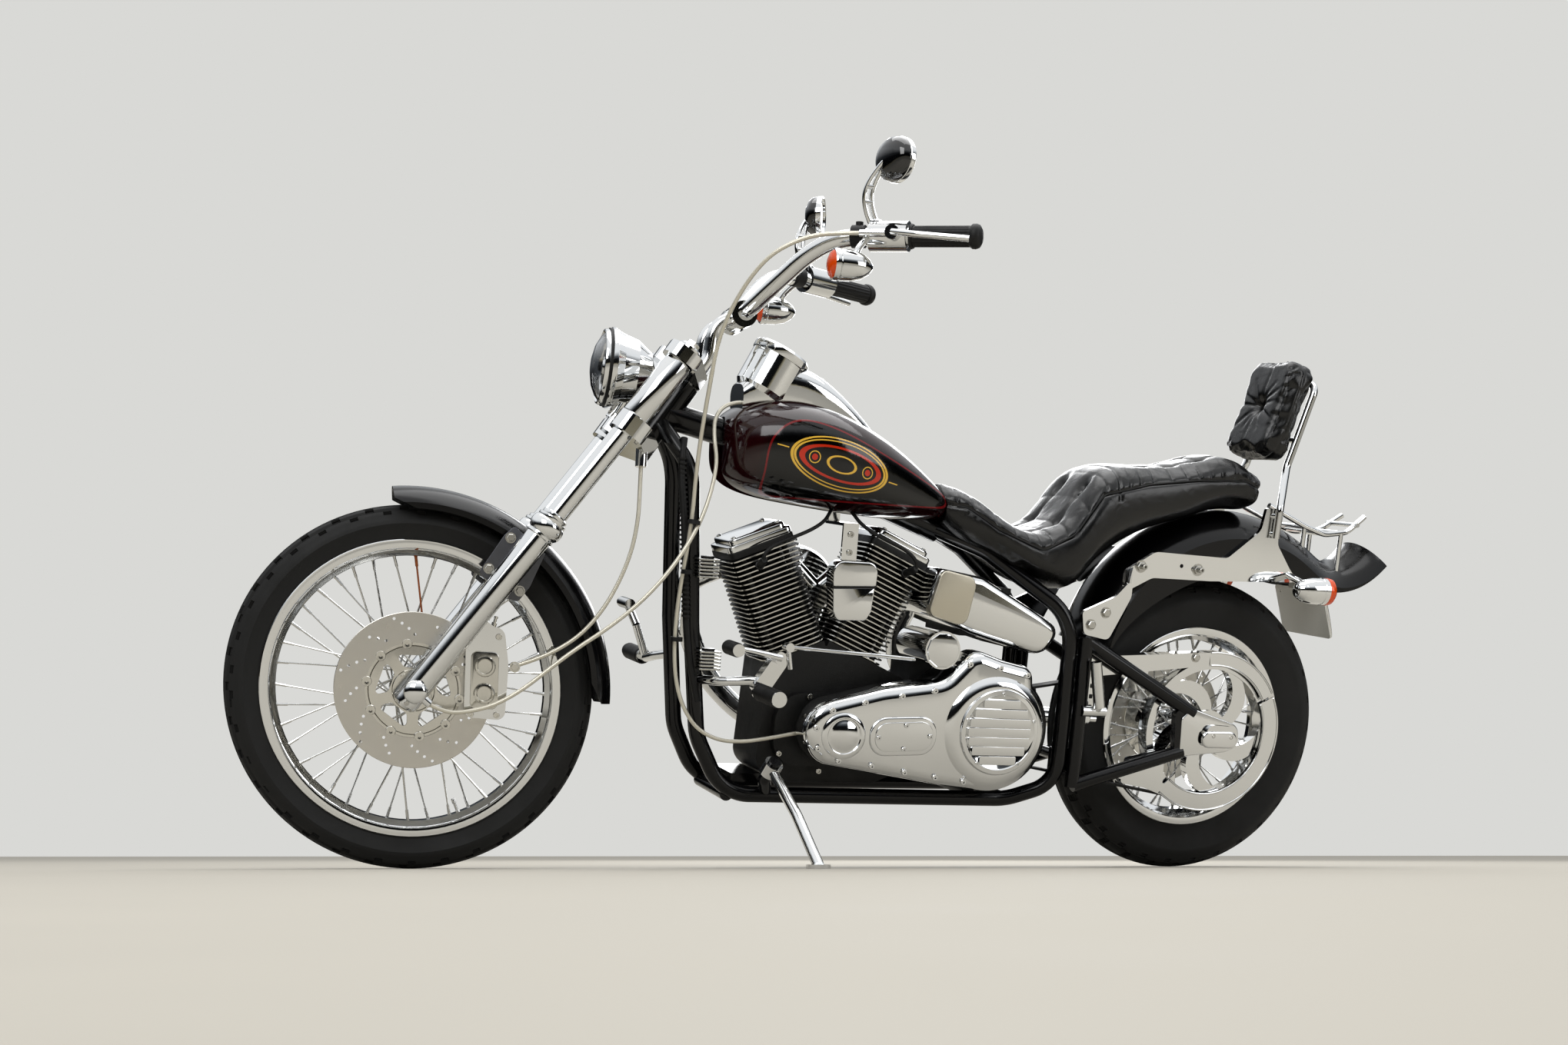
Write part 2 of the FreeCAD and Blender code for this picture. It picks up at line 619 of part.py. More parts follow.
def oil_tank():
    """Horseshoe oil tank under the seat, open at the front where the battery stands."""
    outer = slab([(154, 560, 20), (172, 636, 16), (272, 622, 30), (412, 552, 40), (460, 524, 30),
                  (424, 466, 40), (258, 508, 60), (164, 540, 20)], -130, 130)
    hollow = box(150, 356, -92, 92, 400, 700)
    relief = box(150, 262, 60, 200, 400, 700)
    tabs = [largest(rod(V(x, s * y, z - 60), V(x, s * y, z), 8).cut(frame()))
            for s in (-1, 1) for x, y, z in ((400, 101, 604), (300, 62, 672))]
    return largest(outer.cut(hollow).multiFuse(tabs).cut(relief))


def battery():
    """Battery case inside the horseshoe, on its tray."""
    return box(248, 356 - SEAT_GAP, -84, 84, 500, 600)


def horn_cover():
    """Waterfall horn cover between the cylinders on the left, on its strap."""
    shell = slab([(-56, 526, 24), (-68, 636, 44), (28, 638, 44), (22, 528, 24)], -112, -150)
    strap = box(-32, -8, -112, -106, 600, 712)
    top = box(-32, -8, -112, -14, 706, 712)
    riser = box(-32, -8, -20, -14, 706, 786)
    return joined(shell, strap, top, riser).cut(frame())


def air_cleaner():
    """Round air cleaner on the right with its carburettor and the short manifold."""
    can = turned([(0, 0), (86, 0), (92, 12), (92, 38), (76, 52), (0, 52)], V(CRANK_X, 128, 560), Y_AXIS)
    carb = rod(V(CRANK_X, -12, 560), V(CRANK_X, 128, 560), 24)
    runners = []
    for sign in (-1, 1):
        up, across = bank(sign)
        port = CRANK + up * (HEAD_TO - 24) - across * (sign * (FIN_HALF - 14)) + V(0, 14, 0)
        head = bank_plate(sign, BARREL_FROM, HEAD_TO - BARREL_FROM, FIN_HALF + 5, FIN_DEPTH + 3, 14)
        runners.append(rod(V(CRANK_X, 14, 572), port, 16).cut(head))
    return joined(can, carb, *runners)


EXHAUST_R = 22.0
EXHAUST_Y = 192.0


def exhaust_route(sign):
    """One exhaust pipe from its port: front bank -1, rear bank 1."""
    up, across = bank(sign)
    port = CRANK + up * (HEAD_TO - 22) + across * (sign * (FIN_HALF + 5)) + V(0, 44, 0)
    stub = port + across * (sign * 50)
    if sign < 0:
        return [port, stub, V(-288, 98, 552), V(-262, 150, 476), V(-206, 180, 372), V(-110, 190, 286),
                V(20, EXHAUST_Y, 244), V(170, EXHAUST_Y, 234), V(600, EXHAUST_Y, 234)]
    return [port, stub, V(222, 106, 556), V(214, 160, 492), V(232, 186, 412), V(300, EXHAUST_Y, 342),
            V(400, EXHAUST_Y, 306), V(640, EXHAUST_Y, 302)]


def exhaust():
    """Two staggered drag pipes on the right."""
    return group(pipe(exhaust_route(-1), EXHAUST_R), pipe(exhaust_route(1), EXHAUST_R))


# Bodywork

@functools.lru_cache(None)
def fuel_tank():
    """Teardrop tank: a loft of rounded sections, grooved below for the backbone."""
    stations = [(-268, 34, 800, 872, 2.2), (-252, 92, 770, 905, 2.4), (-200, 134, 750, 930, 2.6),
                (-120, TANK_HALF, 738, 938, 2.7), (-20, TANK_HALF - 4, 728, 916, 2.7),
                (80, TANK_HALF - 30, 722, 870, 2.6), (168, 84, 724, 812, 2.4), (222, 34, 736, 776, 2.2)]
    body = Part.makeLoft([oval(*s) for s in stations], True, False)
    groove = pipe([on_stem(0), V(-240, 0, 862), V(260, 0, 690)], BACKBONE_R + 4, 200)
    slot = slab([(-300, 600), (-300, 880), (-240, 862), (260, 690), (260, 600)], -BACKBONE_R - 4, BACKBONE_R + 4)
    return body.cut(groove).cut(slot)


def dash():
    """Console on the tank: a sloping spine that carries the round instrument."""
    spine = Part.makeLoft([oval(-236, 40, 905, 962, 3), oval(-110, 48, 896, 1002, 3),
                           oval(-26, 42, 880, 958, 3), oval(44, 28, 858, 897, 3)], True, False)
    tilt = V(0.45, 0, 0.893)
    pod = turned([(0, 0), (50, 0), (56, 10), (56, 84), (50, 92), (0, 92)], V(-190, 0, 943), tilt)
    return joined(spine, pod).cut(fuel_tank())


def seat():
    """Two-step saddle: a dished rider's part that rises to the passenger's."""
    stations = [(190, 56, 744, 794, 2.6), (240, 96, 694, 792, 3.0), (300, 128, 668, 752, 3.2),
                (400, SEAT_HALF, 620, 716, 3.4), (470, SEAT_HALF + 4, 600, 752, 3.4),
                (530, SEAT_HALF, 650, 836, 3.2), (640, 126, 728, 864, 3.0), (760, 116, 768, 880, 3.0),
                (880, 104, 792, 886, 3.0), (926, 86, 800, 870, 2.8)]
    pad = Part.makeLoft([oval(*s) for s in stations], True, False)
    arch = Part.makeCylinder(REAR_FENDER_R + 1, 400, FENDER_CENTRE - Y_AXIS * 200, Y_AXIS)
    return pad.cut(arch).cut(frame()).cut(fuel_tank())


def fender_section(at, across, half_width, depth, wall):
    """Open cross-section of a mudguard at a point of its back, square to its run."""
    crown = 0.55 * half_width
    top = V(*at)
    down = -across
    side = V(0, half_width, 0)

    def spot(y, drop):
        return top + V(0, y, 0) + down * drop

    outer = [spot(-half_width, depth), spot(-half_width, crown), spot(0, 0), spot(half_width, crown),
             spot(half_width, depth)]
    inner = [spot(half_width - wall, depth), spot(half_width - wall, crown), spot(0, wall),
             spot(wall - half_width, crown), spot(wall - half_width, depth)]
    edges = [Part.LineSegment(outer[0], outer[1]).toShape(),
             Part.Arc(outer[1], outer[2], outer[3]).toShape(),
             Part.LineSegment(outer[3], outer[4]).toShape(),
             Part.LineSegment(outer[4], inner[0]).toShape(),
             Part.LineSegment(inner[0], inner[1]).toShape(),
             Part.Arc(inner[1], inner[2], inner[3]).toShape(),
             Part.LineSegment(inner[3], inner[4]).toShape(),
             Part.LineSegment(inner[4], outer[0]).toShape()]
    return Part.Wire(edges)


FENDER_CENTRE = V(890, 0, 427)


@functools.lru_cache(None)
def rear_fender():
    """Bobbed rear mudguard over the tyre, its tail turned up."""
    sections = []
    for degrees, depth in ((168, 60), (150, 90), (125, 120), (100, 128), (75, 120), (55, 96)):
        out = V(cos(degrees), 0, sin(degrees))
        sections.append(fender_section(FENDER_CENTRE + out * REAR_FENDER_R, out, REAR_FENDER_HALF, depth, FENDER_WALL))
    for x, z, tilt, depth in ((1150, 694, 76, 66), (1192, 704, 104, 58), (1228, 738, 128, 56)):
        sections.append(fender_section(V(x, 0, z), V(cos(tilt), 0, sin(tilt)), REAR_FENDER_HALF - 4, depth, FENDER_WALL))
    return Part.makeLoft(sections, True, False)


BAG_HOLE_X = 735.0
BAG_HOLE_Z = 668.0
BAG_HOLE_R = 4.2


@functools.lru_cache(None)
def fender_struts():
    """Chromed struts that carry the rear mudguard, bolted to the posts, with the bar plates."""
    pieces = []
    front_outline = [(486, 566, 8), (494, 520, 14), (552, 510, 14), (596, 600, 30), (596, 640, 8), (560, 600, 30)]
    rear_outline = [(604, 606, 10), (668, 640, 30), (806, 640, 40), (1028, 648, 10), (1002, 676, 20),
                    (966, 724, 20), (958, 800, 6), (928, 800, 6), (920, 752, 30), (845, 690, 20),
                    (670, 694, 30), (604, 652, 10)]
    outer = POST_Y + TUBE_R + SEAT_GAP
    for s in (-1, 1):
        inner = REAR_FENDER_HALF + SEAT_GAP
        front_part = slab(front_outline, s * outer, s * (outer + 8))
        rear_part = slab(rear_outline, s * inner, s * (inner + 10))

        def edge(x, y0, y1, low, high):
            corners = [V(x, s * y0, low), V(x, s * y1, low), V(x, s * y1, high), V(x, s * y0, high)]
            return Part.makePolygon(corners + corners[:1])

        bend = Part.makeLoft([edge(588, outer, outer + 8, 590, 634), edge(620, inner, inner + 10, 618, 660)], True, True)
        bag_hole = rod(V(BAG_HOLE_X, s * 90, BAG_HOLE_Z), V(BAG_HOLE_X, s * 140, BAG_HOLE_Z), BAG_HOLE_R)
        pieces.append(joined(front_part, bend, rear_part).cut(rear_fender()).cut(bag_hole))
    return group(*pieces)


PAD_LOW = V(918, 0, 908)
PAD_LEAN_DEG = 16.0
PAD_HEIGHT = 220.0
PAD_HALF = 88.0
PAD_THICK = 62.0


def sissy_bar():
    """Chromed bar: up from both plates, closing in behind the pad, and over, with a cross bar."""
    y = REAR_FENDER_HALF + 22
    up = V(sin(PAD_LEAN_DEG), 0, cos(PAD_LEAN_DEG))
    back = V(cos(PAD_LEAN_DEG), 0, -sin(PAD_LEAN_DEG))
    low = PAD_LOW + back * (PAD_THICK + 8 + SEAT_GAP)
    top = low + up * 184
    side = Y_AXIS * (PAD_HALF - 10)
    bar = pipe([V(950, -y, 738), V(952, -y, 800), low - side, top - side, top + side, low + side,
                V(952, y, 800), V(950, y, 738)], 8, 26)
    at = low + up * 60
    cross = rod(at - side, at + side, 6)
    bolts = [rod(V(950, s * (REAR_FENDER_HALF + 10 + SEAT_GAP), z), V(950, s * y, z), 6)
             for s in (-1, 1) for z in (746, 784)]
    return joined(bar, cross, *bolts)


def backrest_pad():
    """Padded rest on the bar."""
    up = V(sin(PAD_LEAN_DEG), 0, cos(PAD_LEAN_DEG))
    outline = [(0, -PAD_HALF), (PAD_HEIGHT, -PAD_HALF), (PAD_HEIGHT, PAD_HALF), (0, PAD_HALF)]
    return plate(outline, PAD_LOW, up, Y_AXIS, -PAD_THICK, 40)


def rack():
    """Rails and slats over the mudguard's tail."""
    pieces = []
    for s in (-1, 1):
        pieces.append(pipe([V(964, s * 62, 806), V(1060, s * 60, 768), V(1116, s * 58, 752),
                            V(1180, s * 50, 760), V(1228, s * 40, 796)], 6, 60))
    for x, z in ((1064, 766), (1098, 757), (1132, 754), (1166, 758), (1202, 777)):
        pieces.append(rod(V(x, -56, z), V(x, 56, z), 5))
    for s in (-1, 1):
        for x, z, drop in ((1064, 768, 52), (1160, 757, 90)):
            pieces.append(largest(rod(V(x, s * 57, z), V(x, s * 57, z - drop), 5).cut(rear_fender())))
    return joined(*pieces)


def rear_lamps():
    """Two bullet turn signals on stalks and the tail lamp under the rack."""
    pieces = []
    for s in (-1, 1):
        body = turned([(0, -48), (14, -44), (23, -30), (27, -8), (28, 30), (22, 34), (0, 36)],
                      V(1010, s * 196, 636), X_AXIS)
        stalk = rod(V(1000, s * 108, 663), V(1002, s * 180, 646), 7)
        pieces.append(joined(body, stalk))
    lamp = Part.makeLoft([oval(1130, 40, 640, 700, 3), oval(1166, 38, 628, 704, 3)], True, False)
    return group(*[piece.cut(fender_struts()) for piece in pieces], largest(lamp.cut(rear_fender())))


def licence_plate():
    """Blank registration plate on its bracket under the mudguard's tail."""
    lean = V(-sin(20), 0, cos(20))
    outline = [(0, -90), (110, -90), (110, 90), (0, 90)]
    panel = plate(outline, V(1148, 0, 530), lean, Y_AXIS, 4, 8)
    bracket = box(1104, 1130 - SEAT_GAP, -32, 32, 629, 648)
    away = lean.cross(Y_AXIS)
    holes = [rod(V(1148, y, 530) + lean * 96 - away * 20, V(1148, y, 530) + lean * 96 + away * 20, 3.5)
             for y in (-72, 72)]
    return joined(panel, bracket).cut(Part.makeCompound(holes))


def belt_guards():
    """Upper guard over the belt and the lower guard with its pointed blade."""
    y_out = PULLEY_Y - PULLEY_WIDTH - 8
    over = ring_sector((REAR_X, REAR_AXLE.z), GUARD_OUTER_R - 4, GUARD_OUTER_R, 30, 97, y_out, PULLEY_Y)
    skirt = ring_sector((REAR_X, REAR_AXLE.z), GUARD_OUTER_R - 30, GUARD_OUTER_R, 30, 97, y_out, y_out + 3)
    front_top = slab([(REAR_X - 20, REAR_AXLE.z + GUARD_OUTER_R - 2, 0), (518, 470, 0), (518, 466, 0),
                      (REAR_X - 20, REAR_AXLE.z + GUARD_OUTER_R - 6, 0)], y_out, PULLEY_Y)
    front_skirt = slab([(REAR_X - 20, REAR_AXLE.z + GUARD_OUTER_R - 2, 0), (518, 470, 0), (528, 428, 0),
                        (REAR_X - 20, REAR_AXLE.z + GUARD_OUTER_R - 30, 0)], y_out, y_out + 3)
    lower = ring_sector((REAR_X, REAR_AXLE.z), GUARD_INNER_R, GUARD_OUTER_R, -130, 28, y_out, y_out + 3)
    blade = slab([(595, 228, 3), (760, 205, 20), (790, 165, 20), (690, 200, 60)], y_out, y_out + 3)
    tab = slab([(735, 194, 0), (772, 228, 0), (775, 160, 0)], y_out, y_out + 3)
    arm_inner = -ARM_Y + ARM_TUBE_R
    bolts = [rod(V(600, y_out + 2, 458), V(600, arm_inner - 6, 458), 7)]
    hanger = [rod(V(x, y_out + 2, z), V(x, arm_inner - 6, z), 7) for x, z in ((715, 265), (660, 248.6))]
    stay = slab([(640, 206, 8), (645, 262, 8), (740, 282, 8), (744, 190, 8)], y_out, y_out + 3)
    upper = joined(over, skirt, front_top, front_skirt, bolts[0]).cut(rear_arm())
    return group(largest(upper), largest(joined(lower, blade, tab, stay, *hanger).cut(rear_arm())))


def foot_controls():
    """Forward pegs, the shift lever on the left, and the brake pedal on the right."""
    carrier = pipe([V(-306, -74, 392), V(-276, -140, 396), V(-210, -172, 404), V(-186, -176, 410)], 9, 60)
    bracket = slab([(-205, 370, 10), (-230, 392, 10), (-178, 470, 14), (-160, 440, 14)], -164, -190)
    peg = rod(V(-214, -186, 384), V(-214, -300, 384), 15)
    lever = pipe([V(-180, -204, 452), V(-235, -206, 462), V(-290, -210, 470)], 7)
    toe = rod(V(-290, -204, 470), V(-290, -270, 470), 12)
    post = rod(V(-182, -188, 452), V(-182, -206, 452), 12)
    left = joined(carrier, bracket, peg, lever, toe, post)
    carrier = pipe([V(-318, 74, 424), V(-334, 120, 414), V(-336, 170, 404), V(-336, 200, 404)], 9, 40)
    peg = rod(V(-336, 190, 404), V(-336, 300, 404), 15)
    arm = rod(V(-336, 176, 404), V(-360, 176, 470), 8)
    pedal = rod(V(-360, 176, 470), V(-372, 200, 506), 8)
    pad = rod(V(-372, 186, 510), V(-372, 250, 510), 11)
    right = joined(carrier, peg, arm, pedal, pad)
    return group(left.cut(frame()), right.cut(frame()))


def passenger_pegs():
    """Folded passenger pegs on the rear arm."""
    pieces = []
    for s in (-1, 1):
        y = s * (ARM_Y + ARM_TUBE_R)
        joint = rod(V(506, s * (ARM_Y + 18), 362), V(560, s * (ARM_Y + 18), 362), 11)
        peg = rod(V(540, y + s * 16, 372), V(520, y + s * 18, 466), 12)
        link = rod(V(540, s * (ARM_Y + 18), 362), V(540, y + s * 16, 380), 9)
        pieces.append(joined(joint, peg, link).cut(rear_arm()))
    return group(*pieces)


def finned_blocks():
    """Two chromed finned blocks on the left down tube."""
    pieces = []
    for x, z in ((-322, 612), (-312, 440)):
        core = rod(V(x, -96, z - 20), V(x, -96, z + 20), 10)
        fins = [rod(V(x, -96, z - 20 + 8 * n), V(x, -96, z - 16 + 8 * n), 18) for n in range(5)]
        pieces.append(core.multiFuse(fins).cut(frame()))
    return group(*pieces)


def rear_caliper():
    """Rear brake caliper over the disc, on the right, carried by the rear arm."""
    body = box(700, 790, 66, 124, 380, 450)
    slot = turned([(0, 0), (DISC_R + 6, 0), (DISC_R + 6, DISC_THICK + 12), (0, DISC_THICK + 12)],
                  REAR_AXLE + V(0, REAR_DISC_Y + CARRIER_THICK - 6, 0), Y_AXIS)
    return body.cut(slot)


# Fork group

def fork_legs():
    """Two fork legs: lower sliders with dust boots on long chromed tubes."""
    legs = []
    for s in (-1, 1):
        y = s * LEG_SPACING / 2
        slider = rod(on_fork(-SLIDER_FOOT, y), on_fork(SLIDER_LENGTH, y), SLIDER_R)
        boot = rod(on_fork(SLIDER_LENGTH, y), on_fork(SLIDER_LENGTH + 16, y), SLIDER_R + 2.5)
        tube = rod(on_fork(SLIDER_LENGTH, y), on_fork(FORK_LENGTH, y), FORK_TUBE_R)
        hole = rod(FRONT_AXLE + V(0, y - 60, 0), FRONT_AXLE + V(0, y + 60, 0), AXLE_R + SLIDE)
        legs.append(joined(slider, boot, tube).cut(hole))
    return group(*legs)


@functools.lru_cache(None)
def triple_clamps():
    """Raked lower and upper clamps joined by the steering stem."""
    y = LEG_SPACING / 2
    low = stem_station(on_fork(CLAMP_LOWER_AT, 0))
    high = stem_station(on_fork(CLAMP_UPPER_AT, 0))
    outline = [(-22, -32, 22), (20, -146, 26), (82, -146, 26), (82, -88, 16), (62, -62, 14), (62, -26, 8),
               (84, -20, 8), (84, 20, 8), (62, 26, 8), (62, 62, 14), (82, 88, 16), (82, 146, 26), (20, 146, 26),
               (-22, 32, 22)]
    lower = plate(outline, on_stem(low - 18), STEM_AHEAD, Y_AXIS, -36)
    upper = plate(outline, on_stem(high - 13), STEM_AHEAD, Y_AXIS, -26)
    junction = rod(HOSE[0], V(*HOSE[0]) + unit(V(*HOSE[0]) - V(*HOSE[1])) * 46, 11)
    stem = rod(on_stem(low), on_stem(high), STEM_R)
    holes = [rod(on_fork(500, s * y), on_fork(FORK_LENGTH + 40, s * y), FORK_TUBE_R + SLIDE) for s in (-1, 1)]
    return joined(lower, upper, stem, junction).cut(Part.makeCompound(holes))


def headlamp():
    """Bullet headlamp on its bracket from the lower clamp."""
    shell = turned([(0, 0), (LAMP_R - 8, 0), (LAMP_R, 5), (LAMP_R, 16), (LAMP_R - 6, 30), (LAMP_R - 14, 58),
                    (LAMP_R - 34, 86), (0, 100)], V(-500, 0, 972), V(cos(4), 0, -sin(4)))
    post = rod(V(-462, 0, 912), V(-484, 0, 876), 12)
    return joined(shell, post).cut(triple_clamps())


BAR_LEFT = [(-245, -66, 1085), (-212, -120, 1124), (-160, -180, 1180), (-120, -212, 1206), (-70, -240, 1213)]
GRIP_END = V(112, -358, 1210)


def bar_points(sign):
    """One half of the handlebar from the middle out to its end."""
    bend = [V(x, -sign * y, z) for x, y, z in BAR_LEFT]
    return bend + [V(GRIP_END.x, -sign * GRIP_END.y, GRIP_END.z)]


@functools.lru_cache(None)
def handlebar():
    """Buckhorn bar in its clamps on two pulled-back risers."""
    left = list(reversed(bar_points(-1)))
    bar = pipe(left + bar_points(1), BAR_R)
    risers = []
    top = stem_station(on_fork(CLAMP_UPPER_AT, 0)) + 13
    for s in (-1, 1):
        y = s * 44
        foot = on_stem(top, y)
        risers.append(pipe([foot, on_stem(top + 30, y), V(-300, y, 1062), V(-245, y, 1085)], 13))
        risers.append(rod(V(-245, y - 17, 1085), V(-245, y + 17, 1085), 25))
    return joined(bar, *risers)


def along_grip(back, sign):
    """A point on the bar's straight end, measured back from its tip, and the bar's direction there."""
    points = bar_points(sign)
    direction = unit(points[-1] - points[-2])
    return points[-1] - direction * back, direction


def grips():
    """Rubber grips over the bar's ends."""
    pieces = []
    for sign in (-1, 1):
        inner, direction = along_grip(GRIP_LENGTH, sign)
        end, _ = along_grip(-4, sign)
        hollow = rod(inner, along_grip(0, sign)[0], BAR_R)
        pieces.append(rod(inner, end, GRIP_R).cut(hollow))
    return group(*pieces)


@functools.lru_cache(None)
def hand_controls():
    """Clutch and brake perches, switch housings and their levers."""
    pieces = []
    for sign in (-1, 1):
        near, direction = along_grip(GRIP_LENGTH + 4, sign)
        far, _ = along_grip(GRIP_LENGTH + 76, sign)
        housing = rod(near, far, 27)
        ahead = unit(direction.cross(Z_AXIS)) * sign * -1
        perch = rod(near - direction * 20, near - direction * 20 + ahead * 46, 13)
        root = near - direction * 20 + ahead * 44
        tip = along_grip(2, sign)[0] + ahead * 52 + V(0, 0, -14)
        lever = pipe([root, near + direction * 20 + ahead * 56 + V(0, 0, -6), tip], 5.5)
        hole = rod(along_grip(GRIP_LENGTH + 90, sign)[0], along_grip(GRIP_LENGTH - 10, sign)[0], BAR_R + SLIDE)
        ferrule = rod(near - direction * 10 + ahead * 30, near - direction * 84 + ahead * 30, 6.5)
        pieces.append(joined(housing, perch, lever, ferrule).cut(hole).cut(handlebar()))
    return group(*pieces)


def mirrors():
    """Two mirrors on slotted stems from the hand controls."""
    pieces = []
    for sign in (-1, 1):
        base, _ = along_grip(GRIP_LENGTH + 68, sign)
        base = base + V(0, 0, 26)
        y = base.y
        out = -1 if y < 0 else 1
        stem = pipe([base, V(-76, y, 1276), V(-64, y + out * 8, 1326), V(-28, y + out * 32, 1348)], 6, 40)
        wide = V(0.37, out * 0.929, 0)
        head = plate([(-46, -40, 34), (46, -40, 34), (46, 40, 34), (-46, 40, 34)], V(-34, y + out * 30, 1346),
                     wide, Z_AXIS, 22 * out)
        pieces.append(joined(stem, head).cut(hand_controls()))
    return group(*pieces)


def front_signals():
    """Bullet turn signals below the hand controls."""
    pieces = []
    for s in (-1, 1):
        y = s * 292
        body = turned([(0, 0), (22, 2), (28, 6), (27, 40), (22, 62), (10, 76), (0, 78)], V(-140, y, 1150), X_AXIS)
        stem = pipe([V(-96, y, 1170), V(-90, y, 1190), V(-58, s * 256, 1217)], 6)
        pieces.append(largest(joined(body, stem).cut(handlebar()).cut(hand_controls())))
    return group(*pieces)


def front_fender():
    """Short front mudguard close over the tyre, with its brackets to the fork."""
    outer = FRONT_TYRE_R + FRONT_FENDER_GAP + FENDER_WALL
    depth = 44.0
    section = fender_section(V(0, 0, outer), Z_AXIS, FRONT_FENDER_HALF, depth, FENDER_WALL)
    shell = Part.Face(section).revolve(V(0, 0, 0), Y_AXIS, FRONT_FENDER_TO - FRONT_FENDER_FROM)
    shell.Placement = FreeCAD.Placement(FRONT_AXLE, FreeCAD.Rotation(Y_AXIS, 90 - FRONT_FENDER_TO))
    tips = []
    for degrees, inwards in ((FRONT_FENDER_TO, -1), (FRONT_FENDER_FROM, 1)):
        def at(radius, turn):
            return (FRONT_X + radius * cos(degrees + turn * inwards), FRONT_AXLE.z + radius * sin(degrees + turn * inwards))

        tips.append(slab([at(outer - 12, -3), at(outer - 34, 3), at(outer - depth - 6, 9), at(outer - depth - 20, -3)],
                         -100, 100))
    brackets = []
    for s in (-1, 1):
        outer_y = s * (LEG_SPACING / 2 - SLIDER_R)
        outline = [(-724, 560, 10), (-704, 590, 8), (-668, 640, 16), (-616, 622, 16), (-650, 540, 10)]
        bracket = slab(outline, s * (FRONT_FENDER_HALF - FENDER_WALL), outer_y + s * 4)
        leg = rod(on_fork(0, s * LEG_SPACING / 2), on_fork(SLIDER_LENGTH, s * LEG_SPACING / 2), SLIDER_R)
        brackets.append(bracket.cut(leg))
    return shell.cut(Part.makeCompound(tips)).multiFuse(brackets)


def front_axle():
    """Front axle with spacers and end caps."""
    y = LEG_SPACING / 2 + SLIDER_R
    shaft = rod(FRONT_AXLE + V(0, -y, 0), FRONT_AXLE + V(0, y, 0), AXLE_R)
    caps = [rod(FRONT_AXLE + V(0, s * y, 0), FRONT_AXLE + V(0, s * (y + 12), 0), 17) for s in (-1, 1)]
    reach = LEG_SPACING / 2 - SLIDER_R
    left = rod(FRONT_AXLE + V(0, FRONT_DISC_Y - CARRIER_THICK - 3, 0), FRONT_AXLE + V(0, -reach, 0), 17)
    right = rod(FRONT_AXLE + V(0, FRONT_HUB_HALF + 3, 0), FRONT_AXLE + V(0, reach, 0), 17)
    leg = rod(on_fork(-SLIDER_FOOT, -LEG_SPACING / 2), on_fork(SLIDER_LENGTH, -LEG_SPACING / 2), SLIDER_R)
    return joined(shaft, left, right, *caps, rod(*SPEEDO_BOSS, 8).cut(leg))


def front_caliper():
    """Front brake caliper astride the disc behind the left slider."""
    outline = [(-752, 300, 16), (-752, 470, 16), (-682, 470, 20), (-672, 400, 30), (-676, 296, 16)]
    inner = FRONT_DISC_Y - CARRIER_THICK + 24
    outer = FRONT_DISC_Y - CARRIER_THICK - DISC_THICK - 22
    body = slab(outline, inner, outer)
    slot = turned([(0, 0), (DISC_R + DISC_SLOT, 0), (DISC_R + DISC_SLOT, DISC_THICK + 2 * DISC_SLOT),
                   (0, DISC_THICK + 2 * DISC_SLOT)],
                  FRONT_AXLE + V(0, FRONT_DISC_Y - CARRIER_THICK - DISC_THICK - DISC_SLOT, 0), Y_AXIS)
    carrier = turned([(0, 0), (CARRIER_R + DISC_SLOT, 0), (CARRIER_R + DISC_SLOT, 60), (0, 60)],
                     FRONT_AXLE + V(0, FRONT_DISC_Y - CARRIER_THICK - DISC_SLOT, 0), Y_AXIS)
    leg = rod(on_fork(-SLIDER_FOOT, -LEG_SPACING / 2), on_fork(SLIDER_LENGTH, -LEG_SPACING / 2), SLIDER_R)
    ear = slab([(-775, 470, 8), (-745, 500, 8), (-690, 462, 8), (-745, 420, 8)], outer + 8, outer - 16)
    union = rod(HOSE[-1], V(*HOSE[-1]) + unit(V(*HOSE[-1]) - V(*HOSE[-2])) * 16, 7)
    return joined(body.cut(slot).cut(carrier), union, ear).cut(leg)


HOSE = [(-434, -72, 784), (-435, -78, 735), (-437, -84, 684), (-447, -87, 626), (-467, -88, 570),
        (-496, -88, 514), (-536, -86, 464), (-584, -84, 430), (-630, -82, 409), (-664, -80, 397)]
CLUTCH_CABLE = [(-83.1, -267.3, 1213.2, 1), (-108.2, -251, 1213.6, 1), (-156, -238, 1209, 1), (-197, -226, 1194, 1),
                (-235, -211, 1170, 1), (-265, -192, 1132, 1), (-288, -173, 1088, 1), (-304, -156, 1045, 1),
                (-315, -141, 1003, 0.9), (-324, -128, 955, 0.6), (-334, -117, 903, 0.2), (-340, -108, 843, 0),
                (-342, -101, 778, 0), (-342, -97, 712, 0), (-347, -95, 646, 0), (-355, -93, 580, 0),
                (-360, -92, 514, 0), (-360, -92, 450, 0), (-354, -94, 390, 0), (-336, -98, 336, 0),
                (-306, -103, 296, 0), (-262, -106, 276, 0), (-212, -106, 274, 0), (-160, -105, 282, 0),
                (-110, -104, 292, 0), (-76, -103.5, 298, 0)]
SPEEDO_CABLE = [(-236.3, -26, 926, 0), (-266, -28, 922, 0), (-294, -46, 894, 0), (-299, -66, 856, 0),
                (-294, -79, 812, 0), (-302, -88, 768, 0), (-314, -97, 730, 0), (-331, -106, 690, 0),
                (-357, -114, 642, 0.1), (-393, -117, 586, 0.3), (-442, -117, 528, 0.5), (-500, -123, 476, 0.8),
                (-550, -128, 438, 1), (-600, -131, 398, 1), (-650, -134, 356, 1), (-704, -137, 324, 1),
                (-756, -141, 311, 1), (-790, -144.5, 310, 1), (-817.7, -146, 322.9, 1)]
SPEEDO_BOSS = (V(-842, -146, 343), V(-819, -146, 324))
CABLE_R = 4.0


def cable(points):
    """A control cable between the fork and the frame; each point turns by its share of the parked steering."""
    return pipe([cable_point(*p) for p in points], CABLE_R)


